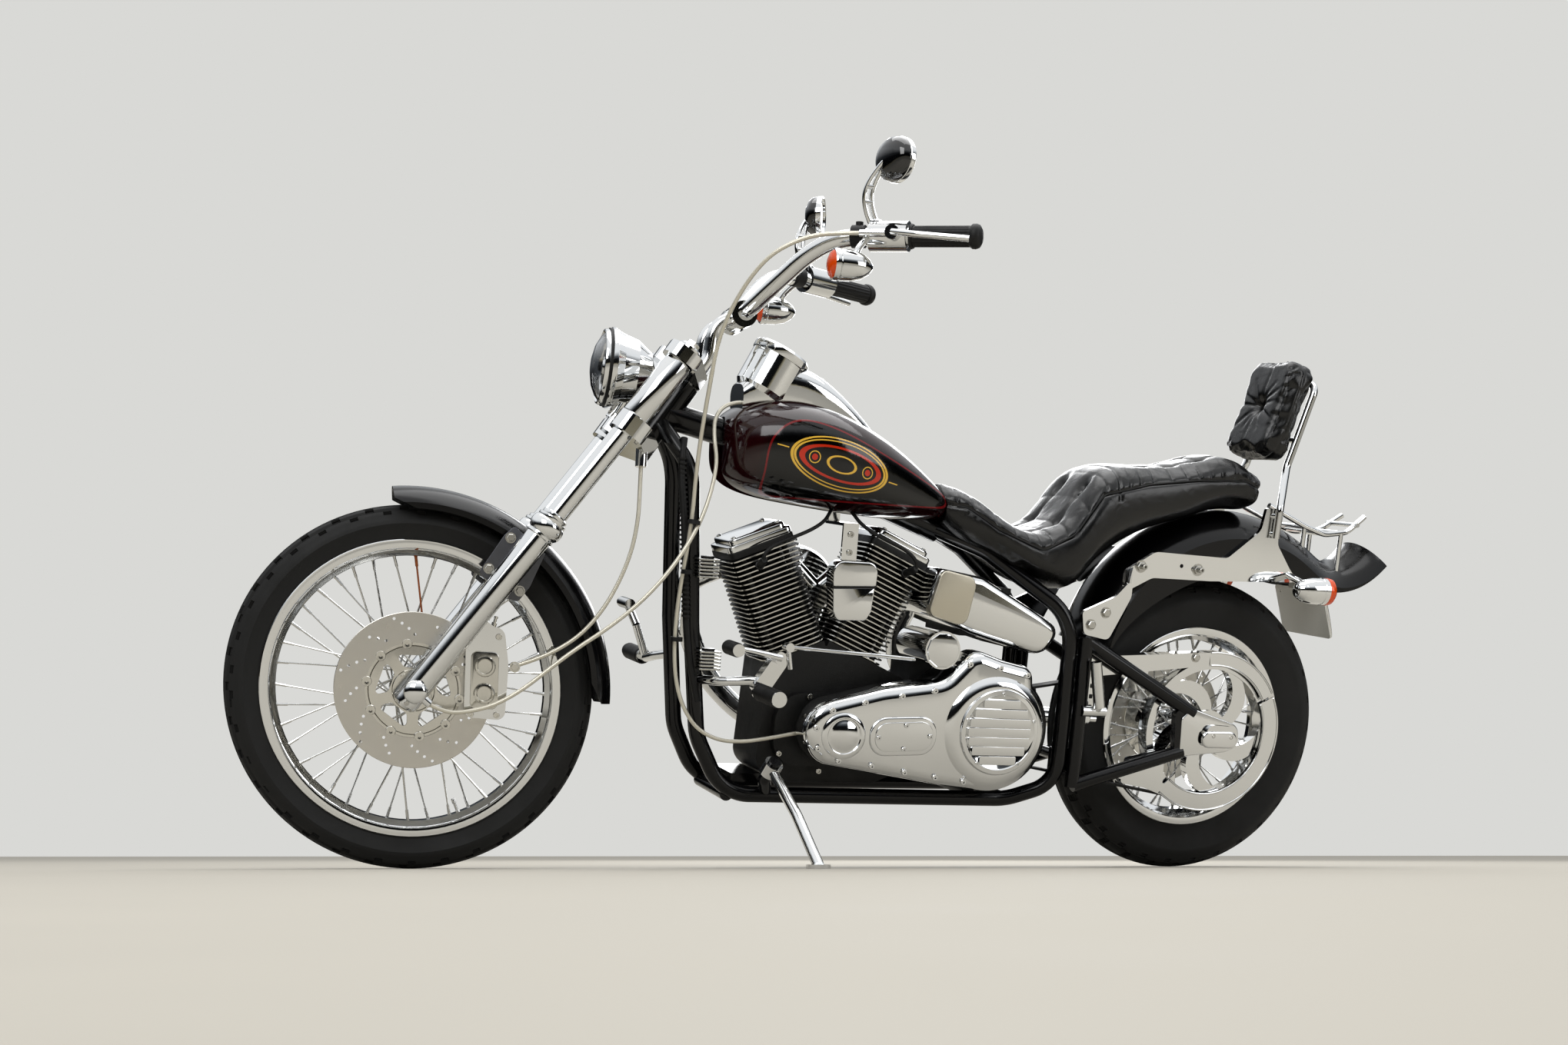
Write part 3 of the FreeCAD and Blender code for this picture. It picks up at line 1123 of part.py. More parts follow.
def cable_point(x, y, z, share):
    """A cable's point on the upright machine with the front end as it is parked."""
    return FreeCAD.Placement(V(0, 0, 0), FreeCAD.Rotation(STEM_DIR, STEER_DEG * share), STEM_POINT).multVec(V(x, y, z))


def cable_sizes():
    """Each cord's bend radii, length, and volume against section times length."""
    sizes = {}
    for name, points in (("brake_hose", [V(*p) for p in HOSE]),
                         ("clutch_cable", [cable_point(*p) for p in CLUTCH_CABLE]),
                         ("speedometer_cable", [cable_point(*p) for p in SPEEDO_CABLE])):
        radii = []
        wire = route(points, None, radii)
        volume = pipe(points, CABLE_R).Volume
        runs = [(b - a).Length for a, b in zip(points, points[1:])]
        sizes[name] = {"length_mm": round(wire.Length, 1), "least_radius_mm": round(min(radii), 1),
                       "runs_mm": [round(r) for r in runs],
                       "volume_ratio": round(volume / (math.pi * CABLE_R ** 2 * wire.Length), 4)}
    return sizes


STAND_PIVOT = V(-160, -140, 228)
STAND_FOOT_X = -125.0
STAND_FOOT_Y = -340.0
STAND_FOOT_R = 24.0
STAND_FOOT_THICK = 8.0
STAND_FOLDED = V(0.965, -0.05, -0.26)
STAND_PIN_R = 8.0
STAND_EYE_HALF = 14.0


def tread_low(centre, axle, radius, half):
    """Height of a round tyre's lowest point."""
    return centre.z - (radius - half) * math.sqrt(1 - axle.z ** 2) - half


@functools.lru_cache(None)
def stance():
    """Placements that park the machine: one for the fork group and one for everything else."""
    steer = FreeCAD.Placement(V(0, 0, 0), FreeCAD.Rotation(STEM_DIR, STEER_DEG), STEM_POINT)
    roll = FreeCAD.Placement(V(0, 0, 0), FreeCAD.Rotation(X_AXIS, LEAN_DEG))
    pitch = 0.0
    for _ in range(12):
        lean = FreeCAD.Placement(V(0, 0, 0), FreeCAD.Rotation(Y_AXIS, pitch)).multiply(roll)
        front = lean.multiply(steer)
        front_low = tread_low(front.multVec(FRONT_AXLE), front.Rotation.multVec(Y_AXIS), FRONT_TYRE_R, FRONT_TYRE_HALF)
        rear_low = tread_low(lean.multVec(REAR_AXLE), lean.Rotation.multVec(Y_AXIS), REAR_TYRE_R, REAR_TYRE_HALF)
        pitch += math.degrees(math.atan2(rear_low - front_low, WHEELBASE))
    lift = FreeCAD.Placement(V(0, 0, -rear_low), FreeCAD.Rotation())
    return lift.multiply(front), lift.multiply(lean)


def stand_foot():
    """The ground point under the stand's foot, and the ground's upward direction, on the upright machine."""
    lean = stance()[1]
    rise = lean.Rotation.multVec(Z_AXIS)
    drop = lean.multVec(V(STAND_FOOT_X, STAND_FOOT_Y, 0)).z
    return V(STAND_FOOT_X, STAND_FOOT_Y, -drop / rise.z), lean.Rotation.inverted().multVec(Z_AXIS)


def stand_axis():
    """The stand's pin: square to the leg as it stands and as it lies folded back."""
    return unit((stand_foot()[0] - STAND_PIVOT).cross(STAND_FOLDED))


def side_stand():
    """Side stand: pivot eye, bent leg and round foot, deployed."""
    ground, up = stand_foot()
    axis = stand_axis()
    ankle = ground + up * (STAND_FOOT_THICK - 1)
    knee = STAND_PIVOT * 0.45 + ankle * 0.55 + up * 10
    leg = pipe([STAND_PIVOT, knee, ankle], 11, 160)
    foot = rod(ground, ground + up * STAND_FOOT_THICK, STAND_FOOT_R)
    eye = rod(STAND_PIVOT - axis * STAND_EYE_HALF, STAND_PIVOT + axis * STAND_EYE_HALF, 19)
    bore = rod(STAND_PIVOT - axis * 30, STAND_PIVOT + axis * 30, STAND_PIN_R + SLIDE)
    below = Part.makeCylinder(60, 20, ground, up * -1)
    return joined(leg, eye, foot).cut(bore).cut(below)


def stand_bracket():
    """The stand's pin with its head, and the lug that carries it from the left rail."""
    inwards = stand_axis() * -1
    if inwards.y < 0:
        inwards = inwards * -1
    head = rod(STAND_PIVOT - inwards * (STAND_EYE_HALF + 7), STAND_PIVOT - inwards * (STAND_EYE_HALF + 1), 13)
    pin = rod(STAND_PIVOT - inwards * (STAND_EYE_HALF + 2), STAND_PIVOT + inwards * (STAND_EYE_HALF + 4), STAND_PIN_R)
    lug = pipe([STAND_PIVOT + inwards * (STAND_EYE_HALF + 1), STAND_PIVOT + inwards * (STAND_EYE_HALF + 18),
                V(-150, -88, GROUND_GAP + TUBE_R + 6)], 13, 12)
    return joined(head, pin, lug).cut(frame())


BODIES = {
    "root": {
        "frame": frame, "rear_arm": rear_arm, "rear_axle": rear_axle, "crankcase": crankcase,
        "front_cylinder": lambda: cylinder(-1), "rear_cylinder": lambda: cylinder(1),
        "rocker_boxes": rocker_boxes, "primary_cover": primary_cover, "clutch_cover": clutch_cover,
        "gearbox": gearbox, "starter": starter, "oil_tank": oil_tank, "battery": battery,
        "horn_cover": horn_cover, "air_cleaner": air_cleaner, "exhaust": exhaust, "fuel_tank": fuel_tank,
        "dash": dash, "seat": seat, "rear_fender": rear_fender, "fender_struts": fender_struts,
        "sissy_bar": sissy_bar, "backrest_pad": backrest_pad, "rack": rack, "rear_lamps": rear_lamps,
        "licence_plate": licence_plate, "belt_guards": belt_guards, "drive_belt": drive_belt,
        "foot_controls": foot_controls, "passenger_pegs": passenger_pegs, "finned_blocks": finned_blocks,
        "rear_caliper": rear_caliper, "stand_bracket": stand_bracket,
        "clutch_cable": lambda: cable(CLUTCH_CABLE).cut(crankcase()), "speedometer_cable": lambda: cable(SPEEDO_CABLE),
    },
    "fork": {
        "fork_legs": fork_legs, "triple_clamps": triple_clamps, "headlamp": headlamp, "handlebar": handlebar,
        "grips": grips, "hand_controls": hand_controls, "mirrors": mirrors, "front_signals": front_signals,
        "front_fender": front_fender, "front_axle": front_axle, "front_caliper": front_caliper,
        "brake_hose": lambda: pipe(HOSE, CABLE_R),
    },
    "front_wheel": {
        "front_tyre": lambda: tyre(FRONT_AXLE, FRONT_TYRE_R, FRONT_TYRE_HALF, FRONT_RIM_R, FRONT_RIM_HALF),
        "front_rim": lambda: spoked_rim(FRONT_AXLE, FRONT_RIM_R, FRONT_RIM_HALF, 36, -FRONT_HUB_HALF, FRONT_HUB_HALF),
        "front_disc": lambda: brake_disc(FRONT_AXLE, FRONT_DISC_Y, -1),
    },
    "rear_wheel": {
        "rear_tyre": lambda: tyre(REAR_AXLE, REAR_TYRE_R, REAR_TYRE_HALF, REAR_RIM_R, REAR_RIM_HALF),
        "rear_rim": lambda: spoked_rim(REAR_AXLE, REAR_RIM_R, REAR_RIM_HALF, 44, -REAR_HUB_HALF, REAR_HUB_HALF),
        "pulley": pulley,
        "rear_disc": lambda: brake_disc(REAR_AXLE, REAR_DISC_Y, 1),
    },
    "side_stand": {"side_stand": side_stand},
}


def main():
    """Draw each piece, park the machine, and write one file per piece."""
    os.makedirs("parts", exist_ok=True)
    front, lean = stance()
    shapes = {}
    for body, nodes in BODIES.items():
        place = front if body in ("fork", "front_wheel") else lean
        for name, draw in nodes.items():
            shape = draw().copy()
            shape.Placement = place.multiply(shape.Placement)
            shapes[name] = (shape, body)
    whole = FreeCAD.BoundBox()
    for shape, _ in shapes.values():
        whole.add(shape.optimalBoundingBox(False, False))
    move = FreeCAD.Placement(V(-whole.Center.x, -whole.Center.y, -whole.ZMin), FreeCAD.Rotation())
    for name, (shape, body) in shapes.items():
        shape.Placement = move.multiply(shape.Placement)
        shape.exportStep(f"parts/{name}.step")
    front = move.multiply(front)
    lean = move.multiply(lean)
    joints = {
        "steering": (front.multVec(STEM_POINT), front.Rotation.multVec(STEM_DIR)),
        "front_wheel_spin": (front.multVec(FRONT_AXLE), front.Rotation.multVec(Y_AXIS)),
        "rear_wheel_spin": (lean.multVec(REAR_AXLE), lean.Rotation.multVec(Y_AXIS)),
        "stand_fold": (lean.multVec(STAND_PIVOT), lean.Rotation.multVec(stand_axis())),
    }
    print(json.dumps({
        "joints": {k: {"pos_m": [round(x / 1000, 6) for x in p], "axis": [round(x, 6) for x in a]}
                   for k, (p, a) in joints.items()},
        "bodies": {name: body for name, (_, body) in shapes.items()},
        "lean": [list(lean.Base), list(lean.Rotation.Q)],
        "front": [list(front.Base), list(front.Rotation.Q)],
        "low_mm": round(whole.ZMin, 3),
        "cords": cable_sizes(),
        "foot_m": [round(x / 1000, 6) for x in lean.multVec(stand_foot()[0])],
        "fold_deg": round(math.degrees((stand_foot()[0] - STAND_PIVOT).getAngle(STAND_FOLDED)), 2),
        "size_mm": [round(x, 1) for x in (whole.XLength, whole.YLength, whole.ZLength)],
        "valid": {name: (shape.isValid(), len(shape.Solids), round(shape.Volume / 1000)) for name, (shape, _) in shapes.items()},
    }))


main()
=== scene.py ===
"""Looks of a parked long-fork custom motorcycle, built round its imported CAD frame.

Design points are millimetres on the upright machine: X to the rear from the middle of the wheelbase,
Y to the rider's right, Z up. Two rigid placements, read from the frame's joints, carry them to where
the machine stands parked: one for the turned front end, one for everything else.
"""
import json
import logging
import math
from dataclasses import dataclass, field
from enum import Enum
from typing import Iterable, Sequence

import bmesh
import bpy
import numpy as np
from mathutils import Matrix, Vector


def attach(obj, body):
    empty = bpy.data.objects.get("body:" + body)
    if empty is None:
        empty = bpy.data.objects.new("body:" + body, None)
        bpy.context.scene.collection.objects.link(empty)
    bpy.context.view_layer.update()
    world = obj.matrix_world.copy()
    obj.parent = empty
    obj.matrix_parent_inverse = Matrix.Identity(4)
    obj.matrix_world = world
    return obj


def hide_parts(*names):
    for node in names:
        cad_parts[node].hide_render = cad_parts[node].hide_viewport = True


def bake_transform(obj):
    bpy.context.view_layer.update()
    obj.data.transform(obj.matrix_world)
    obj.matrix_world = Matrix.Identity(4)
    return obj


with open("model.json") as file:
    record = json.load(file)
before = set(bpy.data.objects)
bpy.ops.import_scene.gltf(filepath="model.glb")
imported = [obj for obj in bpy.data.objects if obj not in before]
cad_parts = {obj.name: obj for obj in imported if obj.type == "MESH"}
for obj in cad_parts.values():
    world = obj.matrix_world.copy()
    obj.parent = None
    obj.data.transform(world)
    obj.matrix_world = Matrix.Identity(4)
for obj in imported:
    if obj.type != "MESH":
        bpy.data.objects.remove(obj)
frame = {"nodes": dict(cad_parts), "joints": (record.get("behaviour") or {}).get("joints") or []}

LOG = logging.getLogger("motorcycle")
MM = 0.001
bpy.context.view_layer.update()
Point = tuple[float, float, float]
Profile = Sequence[tuple[float, float]]
Outline = Sequence[tuple]
Mesh = bmesh.types.BMesh
Tree = bpy.types.NodeTree
Socket = bpy.types.NodeSocket

FRONT_AXLE = Vector((-845, 0, 345))
REAR_AXLE = Vector((845, 0, 320))
STAND_PIVOT = Vector((-160, -140, 228))
RAKE = math.radians(34.0)
FORK_ANGLE = math.radians(36.5)
FORK_DIR = Vector((math.sin(FORK_ANGLE), 0, math.cos(FORK_ANGLE)))
FORK_AHEAD = Vector((-math.cos(FORK_ANGLE), 0, math.sin(FORK_ANGLE)))
STEM_DIR = Vector((math.sin(RAKE), 0, math.cos(RAKE)))
STEM_POINT = FRONT_AXLE + FORK_DIR * 717.5 - FORK_AHEAD * 50
LEG_Y = 115.0
FRONT_RIM = (280.5, 35.0)
REAR_RIM = (217.0, 47.0)
CRANK = Vector((-35, 0, 300))
CASE_HALF = 88
BANK = math.radians(22.5)
SIDES = (-1, 1)
X = Vector((1, 0, 0))
Y = Vector((0, 1, 0))
Z = Vector((0, 0, 1))


class Half(Enum):
    """The machine's two rigid halves as it is parked."""

    REAR = "rear"
    FRONT = "front"


def basis(origin: Vector, axis: Vector, towards: Vector) -> Matrix:
    """An orthonormal frame at a point, its first axis given and its second towards a third point.

    Args:
        origin: the frame's origin.
        axis: the first axis.
        towards: a point on the side of the second axis.

    Returns:
        The frame as a 4x4 matrix.
    """
    first = axis.normalized()
    second = (towards - origin) - first * (towards - origin).dot(first)
    second.normalize()
    third = first.cross(second)
    return Matrix.LocRotScale(origin, Matrix((first, second, third)).transposed(), None)


def placements() -> dict[Half, Matrix]:
    """The two placements, from design millimetres to the row frame in metres.

    Returns:
        One matrix for each half.
    """
    joints = {j["name"]: j for j in frame["joints"]}

    def row(name: str) -> Vector:
        """A joint's place in the row frame."""
        return Vector(joints[name]["pos_m"])

    def turned(name: str) -> Vector:
        """A joint's axis in the row frame."""
        return Vector(joints[name]["axis"])

    rear = basis(row("rear_wheel_spin"), turned("rear_wheel_spin"), row("stand_fold"))
    rear_design = basis(REAR_AXLE * MM, Y, STAND_PIVOT * MM)
    front = basis(row("front_wheel_spin"), turned("front_wheel_spin"), row("steering"))
    front_design = basis(FRONT_AXLE * MM, Y, STEM_POINT * MM)
    scale = Matrix.Scale(MM, 4)
    return {Half.REAR: rear @ rear_design.inverted() @ scale,
            Half.FRONT: front @ front_design.inverted() @ scale}


PLACE = placements()
HALF_OF = {"root": Half.REAR, "rear_wheel": Half.REAR, "side_stand": Half.REAR,
           "fork": Half.FRONT, "front_wheel": Half.FRONT}


def on_fork(along: float, side: float, ahead: float = 0.0) -> Vector:
    """A point on the fork: along the leg from the axle, to the side, and ahead of the leg."""
    return FRONT_AXLE + FORK_DIR * along + Y * side + FORK_AHEAD * ahead


# Finishes

def linear(code: str) -> tuple[float, float, float, float]:
    """An sRGB hex colour as linear RGBA."""
    values = [int(code[i:i + 2], 16) / 255 for i in (1, 3, 5)]
    return (*[v / 12.92 if v <= 0.04045 else ((v + 0.055) / 1.055) ** 2.4 for v in values], 1.0)


def add(tree: Tree, kind: str, settings: dict | None = None,
        links: dict | None = None) -> bpy.types.Node:
    """Adds a shader node.

    Args:
        tree: the material's node tree.
        kind: the node's type name without its ShaderNode start.
        settings: properties by attribute name, or socket values by socket name or number.
        links: output sockets to join to its inputs, by socket name or number.

    Returns:
        The new node.
    """
    made = tree.nodes.new("ShaderNode" + kind)
    for key, value in (settings or {}).items():
        if isinstance(key, str) and hasattr(made, key):
            setattr(made, key, value)
        else:
            made.inputs[key].default_value = value
    for key, socket in (links or {}).items():
        tree.links.new(socket, made.inputs[key])
    return made


@dataclass(frozen=True)
class Finish:
    """A real surface: its colour, gloss and the fine pattern that its making leaves."""

    name: str
    slot: str
    colour: str
    metallic: float = 0.0
    roughness: float = 0.4
    coat: float = 0.0
    coat_roughness: float = 0.04
    ior: float = 1.5
    specular: float = 0.5
    transmission: float = 0.0
    grain_mm: float = 0.0
    grain: float = 0.0
    mottle_mm: float = 0.0
    mottle: float = 0.0
    tint: str = ""

    def material(self) -> bpy.types.Material:
        """The finish as a material, made once."""
        made = bpy.data.materials.get(self.name)
        return made if made is not None else self.build()

    def build(self) -> bpy.types.Material:
        """Builds the node tree.

        Returns:
            The material.
        """
        made = bpy.data.materials.new(self.name)
        made.use_nodes = True
        tree = made.node_tree
        shader = tree.nodes["Principled BSDF"]
        shader.inputs["Base Color"].default_value = linear(self.colour)
        for socket, value in (("Metallic", self.metallic), ("Roughness", self.roughness), ("IOR", self.ior),
                              ("Specular IOR Level", self.specular), ("Coat Weight", self.coat),
                              ("Coat Roughness", self.coat_roughness),
                              ("Transmission Weight", self.transmission)):
            shader.inputs[socket].default_value = value
        coords = add(tree, "TexCoord").outputs["Object"]
        if self.mottle_mm:
            self.add_mottle(tree, shader, coords)
        if self.grain_mm:
            self.add_grain(tree, shader, coords)
        self.pattern(tree, shader, coords)
        return made

    def add_mottle(self, tree: Tree, shader: bpy.types.Node, coords: Socket) -> None:
        """Uneven gloss and colour from handling and dust, at the finish's mottle size.

        Args:
            tree: the material's nodes.
            shader: its surface shader.
            coords: Object coordinates.
        """
        noise = add(tree, "TexNoise", {"Scale": 1000 / self.mottle_mm, "Detail": 5.0, "Roughness": 0.6},
                    {"Vector": coords})
        low = max(self.roughness - self.mottle * 0.5, 0.01)
        spread = add(tree, "MapRange", {"From Min": 0.3, "From Max": 0.7, "To Min": low,
                                        "To Max": self.roughness + self.mottle},
                     {"Value": noise.outputs["Fac"]})
        tree.links.new(spread.outputs["Result"], shader.inputs["Roughness"])
        if self.tint:
            mix = add(tree, "Mix", {"data_type": "RGBA", 6: linear(self.colour), 7: linear(self.tint)},
                      {0: noise.outputs["Fac"]})
            tree.links.new(mix.outputs[2], shader.inputs["Base Color"])

    def add_grain(self, tree: Tree, shader: bpy.types.Node, coords: Socket) -> None:
        """Fine relief at the finish's grain size.

        Args:
            tree: the material's nodes.
            shader: its surface shader.
            coords: Object coordinates.
        """
        noise = add(tree, "TexNoise", {"Scale": 1000 / self.grain_mm, "Detail": 3.0}, {"Vector": coords})
        bump = add(tree, "Bump", {"Strength": self.grain, "Distance": self.grain_mm * MM * 0.3},
                   {"Height": noise.outputs["Fac"]})
        tree.links.new(bump.outputs["Normal"], shader.inputs["Normal"])

    def pattern(self, tree: Tree, shader: bpy.types.Node, coords: Socket) -> None:
        """What a particular finish adds; nothing for a plain one."""


@dataclass(frozen=True)
class Leather(Finish):
    """Upholstery hide: pebble grain of small closed cells over soft creases."""

    cell_mm: float = 2.2
    crease_mm: float = 31.25

    def pattern(self, tree: Tree, shader: bpy.types.Node, coords: Socket) -> None:
        """Cells and creases as relief.

        Args:
            tree: the material's nodes.
            shader: its surface shader.
            coords: Object coordinates.
        """
        cells = add(tree, "TexVoronoi", {"feature": "DISTANCE_TO_EDGE", "Scale": 1000 / self.cell_mm},
                    {"Vector": coords})
        rise = add(tree, "MapRange", {"From Min": 0.0, "From Max": 0.12},
                   {"Value": cells.outputs["Distance"]})
        crease = add(tree, "TexNoise", {"Scale": 1000 / self.crease_mm, "Detail": 1.5, "Distortion": 0.8},
                     {"Vector": coords})
        first = add(tree, "Bump", {"Strength": 0.3, "Distance": 0.004}, {"Height": crease.outputs["Fac"]})
        second = add(tree, "Bump", {"Strength": 0.14, "Distance": 0.0003},
                     {"Height": rise.outputs["Result"], "Normal": first.outputs["Normal"]})
        tree.links.new(second.outputs["Normal"], shader.inputs["Normal"])


# Chromium plate on steel: near-mirror, its gloss a little uneven where it is handled
CHROME = Finish("chrome_plated_steel", "chrome", "#dcdddd", 1.0, 0.055, mottle_mm=60, mottle=0.03)
# Zinc-coated bolts: duller than chrome
BOLT = Finish("zinc_plated_bolt", "chrome", "#b9b8b3", 1.0, 0.22, grain_mm=1.5, grain=0.1)
# Stove enamel on the frame: deep black with a slight orange peel
ENAMEL = Finish("black_stove_enamel", "black_paint", "#030304", 0.0, 0.16, specular=0.32, grain_mm=3.5,
                grain=0.03, mottle_mm=90, mottle=0.06)
# Wrinkle powder coat on the cylinders: matt black, pebbled a millimetre or so across
CRINKLE = Finish("black_wrinkle_coat", "engine_black", "#080808", 0.0, 0.5, specular=0.3, grain_mm=1.6,
                 grain=0.6, mottle_mm=40, mottle=0.1, tint="#111110")
# Fin edges machined bare through the coat
FIN_EDGE = Finish("machined_aluminium_edge", "case_metal", "#c9c8c2", 1.0, 0.26, grain_mm=0.8, grain=0.15)
# Polished cast aluminium: bright, faintly cloudy
POLISHED = Finish("polished_cast_aluminium", "case_metal", "#cfcdc6", 1.0, 0.14, mottle_mm=25, mottle=0.08)
# Ground stainless brake steel
DISC = Finish("ground_stainless_steel", "disc_steel", "#d0cdc6", 1.0, 0.3, grain_mm=0.9, grain=0.12,
              mottle_mm=30, mottle=0.08)
# Tyre rubber: matt, greyed by the road
TYRE = Finish("vulcanised_tyre_rubber", "tyre_rubber", "#101010", 0.0, 0.7, specular=0.3, grain_mm=1.2,
              grain=0.25, mottle_mm=70, mottle=0.12, tint="#191918")
# Moulded rubber, plastic and wiring sleeves: satin black
GRIP = Finish("moulded_rubber", "rubber", "#0a0a0a", 0.0, 0.5, specular=0.3, grain_mm=1.0, grain=0.2,
              mottle_mm=30, mottle=0.1)
# Glossy black upholstery leather
HIDE = Leather("black_upholstery_leather", "leather", "#030303", 0.0, 0.23, specular=0.45,
               mottle_mm=70, mottle=0.05, tint="#060606")
# Signal lenses, and the clear glass of headlamp and instrument
AMBER = Finish("amber_acrylic_lens", "amber_lens", "#f2540c", 0.0, 0.12, ior=1.49, transmission=0.35)
GLASS = Finish("clear_lamp_glass", "amber_lens", "#ffffff", 0.0, 0.02, ior=1.5, transmission=1.0)
# The plate's white face
PLATE = Finish("reflective_white_sheet", "plate_white", "#c9c9c2", 0.0, 0.4, coat=0.3, mottle_mm=20,
               mottle=0.05)
# Clear-sleeved braided steel over the cables: pale, silky
BRAID = Finish("sleeved_braided_steel", "braid", "#cbc6b6", 0.45, 0.34, coat=0.6, coat_roughness=0.15,
               grain_mm=1.4, grain=0.5)
# Zinc-plated butted wire
SPOKE = Finish("zinc_plated_spoke_wire", "chrome", "#c6c6c4", 1.0, 0.2, mottle_mm=9, mottle=0.15)
# A spoke whose plating has gone: orange rust
RUST = Finish("rusted_wire", "chrome", "#a4541a", 0.1, 0.75, mottle_mm=5, mottle=0.1, tint="#6b3410",
              grain_mm=1, grain=0.5)
# Black gloss on small pressings, wet-looking: on the mirror shells its black is a painted reflection, the
# dark wall that chrome domes mirror
REFLECTION_BLACK = Finish("painted_reflection_black", "black_paint", "#050506", 0.0, 0.05, coat=0.6, coat_roughness=0.02)
# Grey cast brackets, satin
BRACKET = Finish("grey_satin_casting", "case_metal", "#55565a", 0.8, 0.38, grain_mm=1.2, grain=0.15,
                 mottle_mm=30, mottle=0.08)
# Brushed trim sheet: pale, cream in daylight
SHEET = Finish("brushed_trim_sheet", "case_metal", "#c3bdad", 0.9, 0.34, grain_mm=0.9, grain=0.12,
               mottle_mm=40, mottle=0.08)
# Silvered glass
MIRROR = Finish("silvered_mirror_glass", "chrome", "#e9ecec", 1.0, 0.01)


# Mesh making

def linked(name: str, data: bpy.types.ID | None) -> bpy.types.Object:
    """A new object in the scene.

    Args:
        name: its name.
        data: its mesh, curve, lamp or camera.

    Returns:
        The object.
    """
    made = bpy.data.objects.new(name, data)
    bpy.context.scene.collection.objects.link(made)
    return made


def mesh_of(name: str, bm: Mesh) -> bpy.types.Mesh:
    """An edited mesh, which is used up, as mesh data.

    Args:
        name: its name.
        bm: the edited mesh.

    Returns:
        The mesh data.
    """
    mesh = bpy.data.meshes.new(name)
    bm.to_mesh(mesh)
    bm.free()
    return mesh


def evaluated(holder: bpy.types.Object) -> bpy.types.Mesh:
    """What an object's modifiers make of it, as mesh data."""
    return bpy.data.meshes.new_from_object(holder.evaluated_get(bpy.context.evaluated_depsgraph_get()))


def polar(reach: float, turn: float, y: float = 0.0) -> Vector:
    """A point at a reach and a turn about the Y axis."""
    return Vector((reach * math.cos(turn), y, reach * math.sin(turn)))


def mirrored(half: Profile, middle: Profile = ()) -> list[tuple[float, float]]:
    """Half an outline, what lies in its middle, and the half's mirror image."""
    return [*half, *middle, *((r, -a) for r, a in reversed(half))]


def oblong(half: float, side: float) -> list[tuple[float, float]]:
    """A rectangle's corners about its middle."""
    return [(-half, -side), (half, -side), (half, side), (-half, side)]


def matrix_to(origin: Vector, axis: Vector) -> Matrix:
    """A frame at a point whose Z lies along an axis."""
    return Matrix.Translation(origin) @ axis.to_track_quat("Z", "Y").to_matrix().to_4x4()


def lathe(bm: Mesh, profile: Profile, origin: Vector, axis: Vector, steps: int = 48,
          closed: bool = False) -> None:
    """Spins a profile of (radius, distance along the axis) into a ring or solid.

    Args:
        bm: the mesh to add to.
        profile: the outline's points.
        origin: a point on the axis, where distances start.
        axis: the direction of the axis.
        steps: facets round the axis.
        closed: whether the outline is a loop, as on a hoop.
    """
    place = matrix_to(origin, axis.normalized())
    before = set(bm.faces)
    verts = [bm.verts.new(place @ Vector((r, 0, a))) for r, a in profile]
    edges = [bm.edges.new(pair) for pair in zip(verts, verts[1:])]
    if closed:
        edges.append(bm.edges.new((verts[-1], verts[0])))
    bmesh.ops.spin(bm, geom=verts + edges, cent=origin, axis=axis.normalized(), dvec=(0, 0, 0),
                   angle=math.tau, steps=steps, use_merge=True)
    made = [f for f in bm.faces if f not in before]
    bmesh.ops.remove_doubles(bm, verts=list({v for f in made for v in f.verts}), dist=0.01)
    made = [f for f in bm.faces if f not in before]
    bmesh.ops.recalc_face_normals(bm, faces=made)


def rod(bm: Mesh, start: Vector, end: Vector, radius: float, tip: float | None = None,
        segments: int = 20) -> None:
    """A round or tapered bar between two points, capped.

    Args:
        bm: the mesh to add to.
        start: the middle of its first end.
        end: the middle of its last end.
        radius: at the first end.
        tip: radius at the last end, or None for the same.
        segments: flats around.
    """
    run = Vector(end) - Vector(start)
    place = matrix_to((Vector(start) + Vector(end)) / 2, run.normalized())
    bmesh.ops.create_cone(bm, cap_ends=True, segments=segments, radius1=radius,
                          radius2=radius if tip is None else tip, depth=run.length, matrix=place)


def rounded(outline: Outline, corner: float, steps: int = 5) -> list[tuple[float, float]]:
    """An outline of (a, b) or (a, b, own radius) with its corners rounded.

    Args:
        outline: corner points in order.
        corner: radius for corners that give none.
        steps: points on each corner's arc.

    Returns:
        The rounded outline's points.
    """
    points = []
    for i, spot in enumerate(outline):
        here = Vector(spot[:2])
        radius = spot[2] if len(spot) > 2 else corner
        back = (Vector(outline[i - 1][:2]) - here)
        on = (Vector(outline[(i + 1) % len(outline)][:2]) - here)
        half = back.angle(on) / 2
        if radius <= 0 or half > 1.55:
            points.append((here.x, here.y))
            continue
        reach = min(radius / math.tan(half), 0.45 * back.length, 0.45 * on.length)
        used = reach * math.tan(half)
        centre = here + (back.normalized() + on.normalized()).normalized() * (used / math.sin(half))
        first = here + back.normalized() * reach - centre
        turn = first.angle_signed(here + on.normalized() * reach - centre)
        for k in range(steps + 1):
            c, s = math.cos(-turn * k / steps), math.sin(-turn * k / steps)
            points.append((centre.x + first.x * c - first.y * s, centre.y + first.x * s + first.y * c))
    return points


